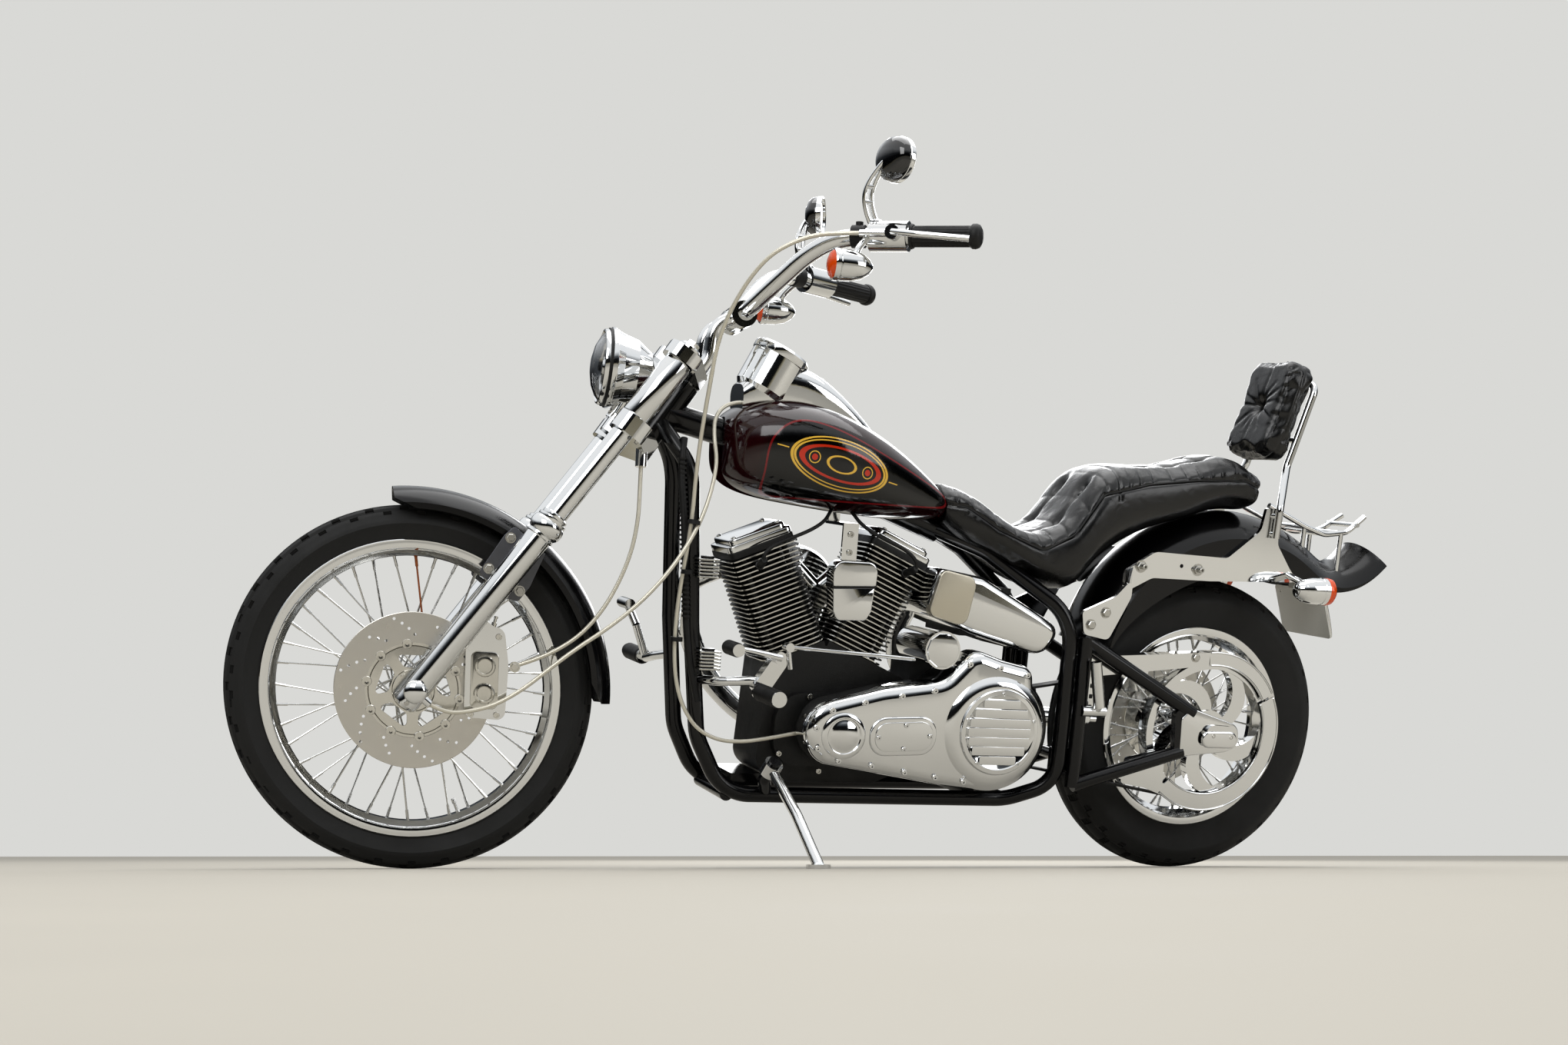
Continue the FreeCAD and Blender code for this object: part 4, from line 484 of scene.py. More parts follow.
def plate(bm: Mesh, outline: Outline, origin: Vector, u: Vector, v: Vector, thick: float,
          corner: float = 0.0, bevel: float = 0.0, steps: int = 5) -> list:
    """A flat piece: a rounded outline on the plane of u and v, made thick along their normal.

    Args:
        bm: the mesh to add to.
        outline: corner points on the plane.
        origin: the plane's origin.
        u: the plane's first direction.
        v: its second direction.
        thick: thickness, along u cross v where positive.
        corner: rounding of the corners.
        bevel: rounding of the far face's edge.
        steps: points on each rounded corner.

    Returns:
        The side faces.
    """
    verts = [bm.verts.new(origin + u * a + v * b) for a, b in rounded(outline, corner, steps)]
    face = bm.faces.new(verts)
    grown = bmesh.ops.extrude_face_region(bm, geom=[face])["geom"]
    moved = [g for g in grown if isinstance(g, bmesh.types.BMVert)]
    bmesh.ops.translate(bm, verts=moved, vec=u.cross(v).normalized() * thick)
    top = [g for g in grown if isinstance(g, bmesh.types.BMFace)]
    sides = list({f for w in moved for f in w.link_faces} - set(top))
    bmesh.ops.recalc_face_normals(bm, faces=[face, *top, *sides])
    if bevel:
        rim = list({e for f in top for e in f.edges})
        bmesh.ops.bevel(bm, geom=rim, offset=bevel, offset_type="OFFSET", segments=3, profile=0.5,
                        affect="EDGES", material=-1, clamp_overlap=True)
    return sides


def slab(bm: Mesh, outline: Outline, y_from: float, y_to: float, corner: float = 0.0,
         bevel: float = 0.0, steps: int = 5) -> None:
    """A plate lying lengthwise in the machine: an (x, z) outline between two side distances."""
    plate(bm, outline, Vector((0, y_from, 0)), X, Z, y_from - y_to, corner, bevel, steps)


def loft(bm: Mesh, rings: Sequence[Sequence[Vector]]) -> None:
    """Bridges closed rings of points into one skin with filled ends.

    Args:
        bm: the mesh to add to.
        rings: rings of equal counts, in order.
    """
    before = set(bm.faces)
    loops = []
    for ring in rings:
        verts = [bm.verts.new(p) for p in ring]
        loops.append([bm.edges.new((verts[i - 1], verts[i])) for i in range(len(verts))])
    for one, two in zip(loops, loops[1:]):
        bmesh.ops.bridge_loops(bm, edges=one + two)
    for loop in (loops[0], loops[-1]):
        bmesh.ops.holes_fill(bm, edges=loop, sides=0)
    bmesh.ops.recalc_face_normals(bm, faces=[f for f in bm.faces if f not in before])


def curve_of(points: Iterable[Vector], order: int = 3) -> bpy.types.Curve:
    """A NURBS line with the points as its control points, in design millimetres.

    Args:
        points: the control points.
        order: the line's order.

    Returns:
        The curve.
    """
    points = list(points)
    line = bpy.data.curves.new("route", "CURVE")
    line.dimensions = "3D"
    line.resolution_u = 8
    spline = line.splines.new("NURBS")
    spline.points.add(len(points) - 1)
    for spot, p in zip(spline.points, points):
        spot.co = (*p, 1.0)
    spline.order_u = order
    spline.use_endpoint_u = True
    return line


def read_curve(line: bpy.types.Curve) -> bpy.types.Mesh:
    """A curve, which is used up, as mesh data.

    Args:
        line: the curve.

    Returns:
        The mesh data.
    """
    holder = bpy.data.objects.new("route", line)
    mesh = bpy.data.meshes.new_from_object(holder)
    bpy.data.objects.remove(holder)
    bpy.data.curves.remove(line)
    return mesh


def tube(bm: Mesh, points: Iterable[Point], radius: float, order: int = 3, sides: int = 4,
         smooth: int = 8) -> None:
    """A round bar along a smooth line through its control points, its ends closed.

    Args:
        bm: the mesh to add to.
        points: the control points.
        radius: the bar's.
        order: the line's order.
        sides: how finely the bar is rounded.
        smooth: steps between two control points.
    """
    line = curve_of([Vector(p) for p in points], order)
    line.resolution_u = smooth
    line.bevel_depth = radius
    line.bevel_resolution = sides
    line.use_fill_caps = True
    mesh = read_curve(line)
    bm.from_mesh(mesh)
    bpy.data.meshes.remove(mesh)


def centreline(points: Iterable[Vector]) -> list[Vector]:
    """Points read from a route's own NURBS line.

    Args:
        points: the control points.

    Returns:
        The line's points in order.
    """
    mesh = read_curve(curve_of(points))
    read = [v.co.copy() for v in mesh.vertices]
    bpy.data.meshes.remove(mesh)
    return read


def screw(bm: Mesh, at: Vector, axis: Vector, radius: float = 6.0, height: float = 5.0,
          hexagon: bool = False) -> None:
    """A screw head: a socket cap with its well, or a chamfered hexagon on a washer.

    Args:
        bm: the mesh to add to.
        at: the middle of its seat.
        axis: the way it faces.
        radius: the head's.
        height: the head's.
        hexagon: whether it is the hexagon.
    """
    at, axis = Vector(at), Vector(axis).normalized()
    if hexagon:
        lathe(bm, [(0, 0), (radius * 1.45, 0), (radius * 1.45, 1.2), (0, 1.2)], at, axis, 20)
        lathe(bm, [(radius * 0.9, 1.2), (radius * 1.12, 1.2), (radius * 1.12, height * 0.85),
                   (radius * 0.95, height), (0, height)], at, axis, 6)
        return
    lathe(bm, [(radius * 0.9, 0), (radius, 0.4), (radius, height - 0.8), (radius - 0.8, height),
               (radius * 0.5, height), (radius * 0.5, height * 0.4), (0, height * 0.4)], at, axis, 14)


def finish_mesh(name: str, bm: Mesh, body: str, finishes: Sequence[Finish], angle: float = 32.0,
                replaces: Sequence[str] = (), place: Matrix | None = None) -> bpy.types.Object:
    """Turns a design-frame mesh into a finished piece on its body.

    Args:
        name: the piece's name.
        bm: the mesh, which is used up.
        body: the CAD body that it rides on.
        finishes: its materials in slot order.
        angle: edges sharper than this, in degrees, stay sharp.
        replaces: CAD nodes that it stands for.
        place: a matrix to the row frame, or None for the body's own.

    Returns:
        The new object.
    """
    bmesh.ops.transform(bm, matrix=PLACE[HALF_OF[body]] if place is None else place, verts=bm.verts)
    limit = math.radians(angle)
    for face in bm.faces:
        face.smooth = True
    for edge in bm.edges:
        edge.smooth = len(edge.link_faces) == 2 and edge.calc_face_angle(0.0) < limit
    mesh = mesh_of(name, bm)
    made = linked(name, mesh)
    for one in finishes:
        mesh.materials.append(one.material())
    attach(made, body)
    if replaces:
        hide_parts(*replaces)
    LOG.info("%s rides on %s with %d faces", name, body, len(mesh.polygons))
    return made


@dataclass
class CadDress:
    """CAD nodes whose shape is right: each gets its finish in its own material slot."""

    finishes: dict[str, Finish]

    def build(self) -> None:
        """Dresses every node given."""
        for node, finish in self.finishes.items():
            data = frame["nodes"][node].data
            data.materials.clear()
            data.materials.append(finish.material())
            for face in data.polygons:
                face.use_smooth = True


# Paint with a design

class Wire:
    """A shader value that builds Math nodes as it is reckoned with."""

    def __init__(self, tree: Tree, socket: Socket) -> None:
        """Wraps a socket."""
        self.tree = tree
        self.socket = socket

    def math(self, operation: str, *others: "Wire | float") -> "Wire":
        """One Math node on this value and the others.

        Args:
            operation: the node's operation.
            others: further inputs, values or wires.

        Returns:
            The result.
        """
        node = add(self.tree, "Math", {"operation": operation}, {0: self.socket})
        for number, other in enumerate(others, 1):
            if isinstance(other, Wire):
                self.tree.links.new(other.socket, node.inputs[number])
            else:
                node.inputs[number].default_value = other
        return Wire(self.tree, node.outputs[0])

    def __add__(self, other: "Wire | float") -> "Wire":
        """Sum."""
        return self.math("ADD", other)

    def __sub__(self, other: "Wire | float") -> "Wire":
        """Difference."""
        return self.math("SUBTRACT", other)

    def __mul__(self, other: "Wire | float") -> "Wire":
        """Product."""
        return self.math("MULTIPLY", other)

    def __abs__(self) -> "Wire":
        """Magnitude."""
        return self.math("ABSOLUTE")

    def hypot(self, other: "Wire") -> "Wire":
        """Root of the sum of the two squares."""
        return (self.math("POWER", 2.0) + other.math("POWER", 2.0)).math("SQRT")

    def below(self, limit: float, soft: float = 0.0003) -> "Wire":
        """One where the value is under a limit, zero above it, with a soft edge in metres."""
        return ((self - limit) * (-1 / soft)).math("ADD", 0.5).math("MAXIMUM", 0.0).math("MINIMUM", 1.0)


@dataclass(frozen=True)
class TankLacquer(Finish):
    """Black panel inside a dark-red pinstripe on burgundy, with a generic double-lined oval in gold."""

    burgundy: str = "#1c0204"
    stripe: str = "#6e0c10"
    gold: str = "#d9ac3e"
    red: str = "#b8280e"
    middle: tuple[float, float] = (-0.065, 0.822)
    slope: float = 0.2

    def pattern(self, tree: Tree, shader: bpy.types.Node, coords: Socket) -> None:
        """Lays the panel, its stripe and the oval in the tank's own upright frame.

        Args:
            tree: the material's nodes.
            shader: its surface shader.
            coords: Object coordinates.
        """
        back = (PLACE[Half.REAR] @ Matrix.Scale(1000, 4)).inverted()
        placed = add(tree, "Mapping", {"Location": back.to_translation(), "Rotation": back.to_euler()},
                     {"Vector": coords})
        split = add(tree, "SeparateXYZ", links={0: placed.outputs[0]})
        x, z = Wire(tree, split.outputs[0]), Wire(tree, split.outputs[2])
        edges = [x + 0.225, z - 0.738, x * -1.0 + 0.236, x * -0.387 - (z - 0.8756) * 0.922,
                 (z - 0.920) * -1.0, x * 0.666 - (z - 1.0721) * 0.746]
        inside = edges[0]
        for edge in edges[1:]:
            inside = inside.math("SMOOTH_MIN", edge, 0.05)
        colour = self.layer(tree, linear(self.burgundy), inside.below(0.010, 0.02), linear(self.colour))
        colour = self.layer(tree, linear(self.stripe), abs(inside - 0.014).below(0.0016), colour)
        ahead, rise = x - self.middle[0], z - self.middle[1]
        cos, sin = math.cos(self.slope), math.sin(self.slope)
        along, across = ahead * cos - rise * sin, ahead * sin + rise * cos
        for a, b, half, code in ((0.104, 0.047, 0.0012, self.gold), (0.098, 0.041, 0.0010, self.gold),
                                 (0.084, 0.030, 0.0024, self.red), (0.030, 0.015, 0.0013, self.gold)):
            reach = (along * (1 / a)).hypot(across * (1 / b))
            band = abs((reach - 1.0) * (0.5 * (a + b) * 0.6)).below(half)
            colour = self.layer(tree, linear(code), band, colour)
        for place in (-0.058, 0.058):
            ring = (along - place).hypot(across)
            colour = self.layer(tree, linear(self.gold), abs(ring - 0.011).below(0.001), colour)
            colour = self.layer(tree, linear(self.red), ring.below(0.006), colour)
        for sign in (-1.0, 1.0):
            beyond, beside = abs(along - sign * 0.122) - 0.011, abs(across - sign * -0.004) - 0.0011
            colour = self.layer(tree, linear(self.gold), beyond.math("MAXIMUM", beside).below(0.0), colour)
        tree.links.new(colour, shader.inputs["Base Color"])

    def layer(self, tree: Tree, top: tuple, mask: Wire, under: "Socket | tuple") -> Socket:
        """One colour over what lies under it, where the mask says.

        Args:
            tree: the material's nodes.
            top: the colour laid on.
            mask: one where it shows.
            under: the colour, or the socket of what lies under.

        Returns:
            The socket of the result.
        """
        mix = add(tree, "Mix", {"data_type": "RGBA", 7: top}, {0: mask.socket})
        if isinstance(under, tuple):
            mix.inputs[6].default_value = under
        else:
            tree.links.new(under, mix.inputs[6])
        return mix.outputs[2]


# The tank's own lacquer
TANK_DESIGN = TankLacquer("panelled_tank_lacquer", "tank_paint", "#020202", 0.0, 0.1, specular=0.5)


# Studio

@dataclass
class Studio:
    """Floor, backdrop light and the photograph's camera."""

    lens_mm: float = 45.37
    sensor_mm: float = 36.0
    height: float = 0.03
    yaw_deg: float = 20.8
    rise: float = 0.2213
    range_m: float = 3.6
    spot: tuple[float, float] = (-1.5163, -3.826)
    backdrop: str = "#d9d9d6"
    ground: str = "#a6a196"

    def build(self) -> None:
        """Makes all of it."""
        self.add_camera()
        self.add_world()
        self.add_floor()
        self.add_lights()
        bpy.context.scene.view_settings.view_transform = "Standard"

    def add_camera(self) -> None:
        """The camera: level, near the floor, looking across from the machine's left front."""
        data = bpy.data.cameras.new("camera")
        data.lens = self.lens_mm
        data.sensor_width = self.sensor_mm
        shift = PLACE[Half.REAR].to_translation()
        data.shift_y = self.rise - self.height * (self.lens_mm / self.sensor_mm) / self.range_m
        made = linked("camera", data)
        made.location = (self.spot[0] + shift.x, self.spot[1] + shift.y, self.height)
        made.rotation_euler = (math.pi / 2, 0, -math.radians(self.yaw_deg))
        bpy.context.scene.camera = made

    def add_world(self) -> None:
        """A pale backdrop for the camera; for reflections a bright sky over a dark skyline."""
        world = bpy.data.worlds.new("studio")
        bpy.context.scene.world = world
        world.use_nodes = True
        tree = world.node_tree
        out = tree.nodes["World Output"]
        plain = tree.nodes["Background"]
        plain.inputs["Color"].default_value = linear(self.backdrop)
        coords = add(tree, "TexCoord").outputs["Generated"]
        split = add(tree, "SeparateXYZ", links={0: coords})
        lift = add(tree, "MapRange", {"From Min": -1.0, "From Max": 1.0}, {"Value": split.outputs[2]})
        ramp = add(tree, "ValToRGB", links={0: lift.outputs[0]})
        stops = ramp.color_ramp.elements
        stops[0].position, stops[0].color = 0.0, linear("#8f8874")
        stops[1].position, stops[1].color = 1.0, linear("#ffffff")
        for spot, code in ((0.47, "#9a937e"), (0.50, "#0c0c0a"), (0.60, "#101113"), (0.66, "#565a5e"),
                           (0.76, "#eef1f4")):
            stop = stops.new(spot)
            stop.color = linear(code)
        sky = add(tree, "Background", {"Strength": 1.15}, {"Color": ramp.outputs[0]})
        path = add(tree, "LightPath")
        mix = add(tree, "MixShader", links={0: path.outputs["Is Camera Ray"], 1: sky.outputs[0],
                                            2: plain.outputs[0]})
        tree.links.new(mix.outputs[0], out.inputs["Surface"])

    def add_floor(self) -> None:
        """A pale matt floor."""
        bm = bmesh.new()
        bmesh.ops.create_grid(bm, x_segments=2, y_segments=2, size=14.0)
        mesh = mesh_of("floor", bm)
        made = linked("floor", mesh)
        mesh.materials.append(Finish("studio_floor", "", self.ground, 0.0, 0.8, mottle_mm=400, mottle=0.1,
                                     tint="#aea99e").material())

    def add_lights(self) -> None:
        """Soft panels: high at the left front, overhead, behind, and low at the left rear."""
        for name, at, size, power in (("key", (-2.6, -3.4, 3.2), 2.6, 92.0),
                                      ("top", (0.6, 0.3, 4.0), 3.4, 74.0),
                                      ("rim", (1.8, 3.2, 2.2), 2.0, 62.0),
                                      ("side", (2.8, -3.0, 1.6), 1.8, 34.0)):
            data = bpy.data.lights.new(name, "AREA")
            data.shape = "SQUARE"
            data.size = size
            data.energy = power
            made = linked(name, data)
            made.location = at
            aim = Vector((0, 0, 0.5)) - Vector(at)
            made.rotation_euler = aim.to_track_quat("-Z", "Y").to_euler()


# Cords

@dataclass
class Cables:
    """The brake hose on the fork, and the two cables that cross from the fork to the frame."""

    radius: float = 4.0

    hose: tuple = ((-434, -72, 784), (-435, -78, 735), (-437, -84, 684), (-447, -87, 626), (-467, -88, 570),
                   (-496, -88, 514), (-536, -86, 464), (-584, -84, 430), (-630, -82, 409), (-664, -80, 397))
    clutch: tuple = ((-83.1, -267.3, 1213.2, 1), (-108.2, -251, 1213.6, 1), (-156, -238, 1209, 1),
                     (-197, -226, 1194, 1), (-235, -211, 1170, 1), (-265, -192, 1132, 1),
                     (-288, -173, 1088, 1), (-304, -156, 1045, 1), (-315, -141, 1003, 0.9),
                     (-324, -128, 955, 0.6), (-334, -117, 903, 0.2), (-340, -108, 843, 0),
                     (-342, -101, 778, 0), (-342, -97, 712, 0), (-347, -95, 646, 0), (-355, -93, 580, 0),
                     (-360, -92, 514, 0), (-360, -92, 450, 0), (-354, -94, 390, 0), (-336, -98, 336, 0),
                     (-306, -103, 296, 0), (-262, -106, 276, 0), (-212, -106, 274, 0), (-160, -105, 282, 0),
                     (-110, -104, 292, 0), (-76, -103.5, 298, 0))
    speedometer: tuple = ((-236.3, -26, 926, 0), (-266, -28, 922, 0), (-294, -46, 894, 0),
                          (-299, -66, 856, 0), (-294, -79, 812, 0), (-302, -88, 768, 0), (-314, -97, 730, 0),
                          (-331, -106, 690, 0), (-357, -114, 642, 0.1), (-393, -117, 586, 0.3),
                          (-442, -117, 528, 0.5), (-500, -123, 476, 0.8), (-550, -128, 438, 1),
                          (-600, -131, 398, 1), (-650, -134, 356, 1), (-704, -137, 324, 1),
                          (-756, -141, 311, 1), (-790, -144.5, 310, 1), (-817.7, -146, 322.9, 1))

    def build(self) -> None:
        """Makes the three cords."""
        self.add_hose()
        self.add_crossing("clutch_cable", self.clutch)
        self.add_crossing("speedometer_cable", self.speedometer)

    def add_hose(self) -> None:
        """The brake hose as one curve."""
        line = curve_of([PLACE[Half.FRONT] @ Vector(p) for p in self.hose])
        line.resolution_u = 12
        line.bevel_depth = self.radius * MM
        line.bevel_resolution = 3
        line.use_fill_caps = True
        line.materials.append(BRAID.material())
        made = linked("brake_hose_line", line)
        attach(made, "fork")
        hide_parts("brake_hose")
        self.measure(self.hose_row())
        LOG.info("brake_hose_line rides on fork as a curve")

    def hose_row(self) -> list[Vector]:
        """The hose's own line in the row frame."""
        return centreline([PLACE[Half.FRONT] @ Vector(p) for p in self.hose])

    def measure(self, points: Sequence[Vector]) -> float:
        """Length of a run of points."""
        return sum((b - a).length for a, b in zip(points, points[1:]))

    def placed(self, x: float, y: float, z: float, share: float) -> Vector:
        """A cable's point in the row frame, turned by its share of the parked steering.

        Args:
            x: the point's place along the machine.
            y: its place to the side.
            z: its height.
            share: none on the frame, one on the fork.

        Returns:
            The point in metres.
        """
        front, rear = PLACE[Half.FRONT], PLACE[Half.REAR]
        turn = (rear.inverted() @ front).to_quaternion()
        part = Matrix.Rotation(turn.angle * share, 4, STEM_DIR if turn.axis.dot(STEM_DIR) > 0 else -STEM_DIR)
        return rear @ (Matrix.Translation(STEM_POINT) @ part @ Matrix.Translation(-STEM_POINT)
                       @ Vector((x, y, z)))

    def add_crossing(self, node: str, points: Sequence[tuple]) -> None:
        """A cable as a mesh tube that bends between the frame and the fork.

        Args:
            node: the CAD node that it stands for.
            points: its route's points with their steering shares.
        """
        row = [self.placed(*p) for p in points]
        path = centreline(row)
        bm = bmesh.new()
        tube(bm, row, self.radius * MM, smooth=10, sides=3)
        made = finish_mesh(f"{node}_line", bm, "root", [BRAID], 50, [node], Matrix.Identity(4))
        made.parent = None
        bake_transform(made)


# Wheels

@dataclass
class Tyre:
    """A road tyre: bead, ribbed sidewall and a crown with grooves and cross cuts."""

    node: str
    body: str
    centre: Vector
    radius: float
    half: float
    rim_r: float
    rim_half: float
    steps: int = 132

    def profile(self) -> list[tuple[float, float]]:
        """The outline from bead to bead over the crown.

        Returns:
            Radii with their distances from the middle plane.
        """
        ring = self.radius - self.half
        bead = self.rim_half - 4.6
        turns = [math.radians(a) for a in range(-90, 91, 6)]
        low = math.radians(8)
        if self.rim_r > ring:
            low = math.asin(min((self.rim_r + 2 - ring) / self.half, 0.98))
        sweep = [a for a in turns if abs(a) <= math.pi / 2 - max(low, 0.05)]
        crown = []
        for a in sweep:
            across = math.degrees(a)
            depth = 3.2 if any(abs(abs(across) - spot) < 1 for spot in (12, 36)) else 0.0
            rib = 1.2 if abs(abs(across) - 60) < 1 else 0.0
            reach = self.half - depth - rib
            crown.append((ring + reach * math.cos(a), reach * math.sin(a)))
        return mirrored([(self.rim_r - 12, -bead), (self.rim_r + 1, -bead)], crown)

    def build(self) -> None:
        """Spins the tyre and sinks its cross cuts."""
        bm = bmesh.new()
        lathe(bm, self.profile(), self.centre, Y, self.steps, closed=True)
        self.cut_tread(bm)
        finish_mesh(f"{self.node}_tread", bm, self.body, [TYRE], 40, [self.node])

    def cut_tread(self, bm: Mesh) -> None:
        """Sinks slanting cuts across each shoulder and between the middle grooves.

        Args:
            bm: the tyre.
        """
        chosen = []
        for face in bm.faces:
            rel = face.calc_center_median() - self.centre
            reach = math.hypot(rel.x, rel.z) - (self.radius - self.half)
            across = math.degrees(math.atan2(rel.y, reach))
            if abs(across) > 52 or reach < self.half * 0.4:
                continue
            slot = int(round(math.degrees(math.atan2(rel.z, rel.x)) / (360 / self.steps)))
            lane = int((abs(across) + 3) // 12)
            if (slot + lane + (2 if across > 0 else 0)) % 4 == 0 and abs(across) > 14:
                chosen.append(face)
        made = bmesh.ops.inset_individual(bm, faces=chosen, thickness=1.6, depth=-3.0)
        bmesh.ops.recalc_face_normals(bm, faces=made["faces"])


@dataclass
class SpokedWheel:
    """Chromed rim with crossed spokes in threaded nipples, flanged hub and valve."""

    node: str
    body: str
    centre: Vector
    rim_r: float
    rim_half: float
    flange: float
    end_half: float
    rusty: int = -1
    spokes: int = 40

    def build(self) -> None:
        """Makes the rim, hub and wires."""
        bm = bmesh.new()
        self.add_rim(bm)
        self.add_hub(bm)
        finish_mesh(f"{self.node}_hoop", bm, self.body, [CHROME], 30, [self.node])
        bm = bmesh.new()
        rust = bmesh.new()
        for number in range(self.spokes):
            self.add_spoke(rust if number == self.rusty else bm, number)
        self.add_valve(bm)
        finish_mesh(f"{self.node}_spokes", bm, self.body, [SPOKE], 40)
        if self.rusty >= 0:
            finish_mesh(f"{self.node}_rusted_spoke", rust, self.body, [RUST], 40)
        else:
            rust.free()

    def add_rim(self, bm: Mesh) -> None:
        """The rolled rim: curled lips, seat and the well that the wires pull on.

        Args:
            bm: the mesh to add to.
        """
        r, h = self.rim_r, self.rim_half
        outer = [(r - 1.5, 0.4 - h), (r, 1.4 - h), (r - 0.6, 3.6 - h), (r - 6, 4 - h), (r - 15, 5 - h),
                 (r - 15.5, -20), (r - 22, -12)]
        inner = [(r - 5, h - 0.6), (r - 10, h - 0.2), (r - 16, h - 1.5), (r - 19.2, h - 6), (r - 20, 21),
                 (r - 29.5, 13.5)]
        lathe(bm, mirrored(outer) + mirrored(inner, [(r - 30, 0)]), self.centre, Y, 96, closed=True)

    def add_hub(self, bm: Mesh) -> None:
        """A flanged, waisted hub.

        Args:
            bm: the mesh to add to.
        """
        f, e = self.flange, self.end_half
        half = [(13, -e), (38, -e), (40, 2 - e), (40, 5 - e), (27, 9 - e), (26, -f - 1), (39, -f),
                (40.5, 1.2 - f), (40.5, 4.5 - f), (39, 6 - f), (28, 10 - f), (24, 16 - f)]
        lathe(bm, mirrored(half, [(22.5, 0)]), self.centre, Y, 48, closed=True)

    def add_spoke(self, bm: Mesh, number: int) -> None:
        """One laced wire with its elbow, butted end and nipple.

        Args:
            bm: the mesh to add to.
            number: the wire's, around the wheel.
        """
        side = 1 if number % 2 else -1
        lead = 58.0 if number % 4 < 2 else -58.0
        turn = math.tau * number / self.spokes
        foot = turn + math.radians(lead)
        inner = self.centre + polar(36, foot, side * (self.flange - 3))
        well = self.rim_r - 26
        outer = self.centre + polar(well, turn, side * 7)
        run = (outer - inner).normalized()
        rod(bm, inner - run * 3, outer, 2.0, 1.8, segments=8)
        rod(bm, outer - run * 24, outer - run * 2, 2.9, 2.9, segments=8)
        rod(bm, outer - run * 6, outer + run * 2, 3.4, 4.0, segments=8)
        rod(bm, inner - run * 3, inner - run * 3 + Y * side * 6, 2.3, 2.9, segments=8)

    def add_valve(self, bm: Mesh) -> None:
        """Valve stem with its cap, low on the wheel.

        Args:
            bm: the mesh to add to.
        """
        out = polar(1, math.radians(-68))
        foot = self.centre + out * (self.rim_r - 28)
        lathe(bm, [(0, 0), (4.2, 0), (4.2, 4), (2.8, 5), (2.8, 18), (4, 19), (4, 27), (3.2, 28.5), (0, 28.5)],
              foot, -out, 14)


@dataclass
class Disc:
    """Drilled brake disc on a windowed carrier with button rivets."""

    node: str
    body: str
    centre: Vector
    inner_y: float
    sign: float

    def build(self) -> None:
        """Makes the ring with its holes, the carrier and the rivets."""
        base = self.centre + Y * self.inner_y
        out = Y * self.sign
        ring = bmesh.new()
        lathe(ring, [(89, 6.2), (145, 6.2), (146, 6.8), (146, 10.4), (145, 11), (89, 11)], base, out, 96,
              closed=True)
        drills = bmesh.new()
        for group in range(12):
            for k in range(4 if group % 2 else 3):
                turn = math.radians(30 * group + 5.5 * k)
                reach = 104 + 11 * k
                at = base + polar(reach, turn)
                rod(drills, at, at + out * 20, 2.9, segments=12)
        finish_mesh(f"{self.node}_ring", carve(ring, drills), self.body, [DISC], 30, [self.node])
        hub = bmesh.new()
        lathe(hub, [(21, 0.3), (95, 0.3), (96, 1), (96, 5.4), (95, 6), (84, 6), (82, 8.5), (60, 9.5),
                    (40, 9.5), (38, 6.2), (21, 6.2)], base, out, 72, closed=True)
        windows = bmesh.new()
        for n in range(5):
            turn = math.radians(72 * n + 18)
            spots = []
            for a, r in ((-23, 46), (-28, 74), (28, 74), (23, 46)):
                spots.append((r * math.cos(turn + math.radians(a)), r * math.sin(turn + math.radians(a)), 9))
            plate(windows, spots, base - out * 5, X, Z, 22 * -self.sign, 9)
        for n in range(10):
            turn = math.radians(36 * n + 9)
            at = base + polar(92, turn)
            rod(windows, at - out * 5 + polar(1, turn) * 5, at + out * 6.1, 5, segments=12)
        bm = carve(hub, windows)
        for n in range(10):
            turn = math.radians(36 * n - 9)
            at = base + polar(87, turn) + out * 6
            lathe(bm, [(2.6, 5), (4.4, 5.4), (8.6, 5.4), (9.6, 4.4), (9.6, 0), (2.6, 0)], at, out, 20,
                  closed=True)
        for n in range(5):
            turn = math.radians(72 * n + 54)
            screw(bm, base + polar(31, turn) + out * 6, out, 5.5, 4)
        finish_mesh(f"{self.node}_carrier", bm, self.body, [POLISHED], 30)


def carve(bm: Mesh, cutter: Mesh) -> Mesh:
    """Cuts one closed mesh out of another.

    Args:
        bm: the piece, which is used up.
        cutter: what is cut away, which is used up.

    Returns:
        A new mesh with the result.
    """
    made = []
    for part in (bm, cutter):
        bmesh.ops.recalc_face_normals(part, faces=part.faces)
        made.append(linked("carving", mesh_of("carving", part)))
    cut = made[0].modifiers.new("cut", "BOOLEAN")
    cut.operation = "DIFFERENCE"
    cut.solver = "EXACT"
    cut.object = made[1]
    mesh = evaluated(made[0])
    result = bmesh.new()
    result.from_mesh(mesh)
    bpy.data.meshes.remove(mesh)
    for holder in made:
        data = holder.data
        bpy.data.objects.remove(holder)
        bpy.data.meshes.remove(data)
    return result


# Trim

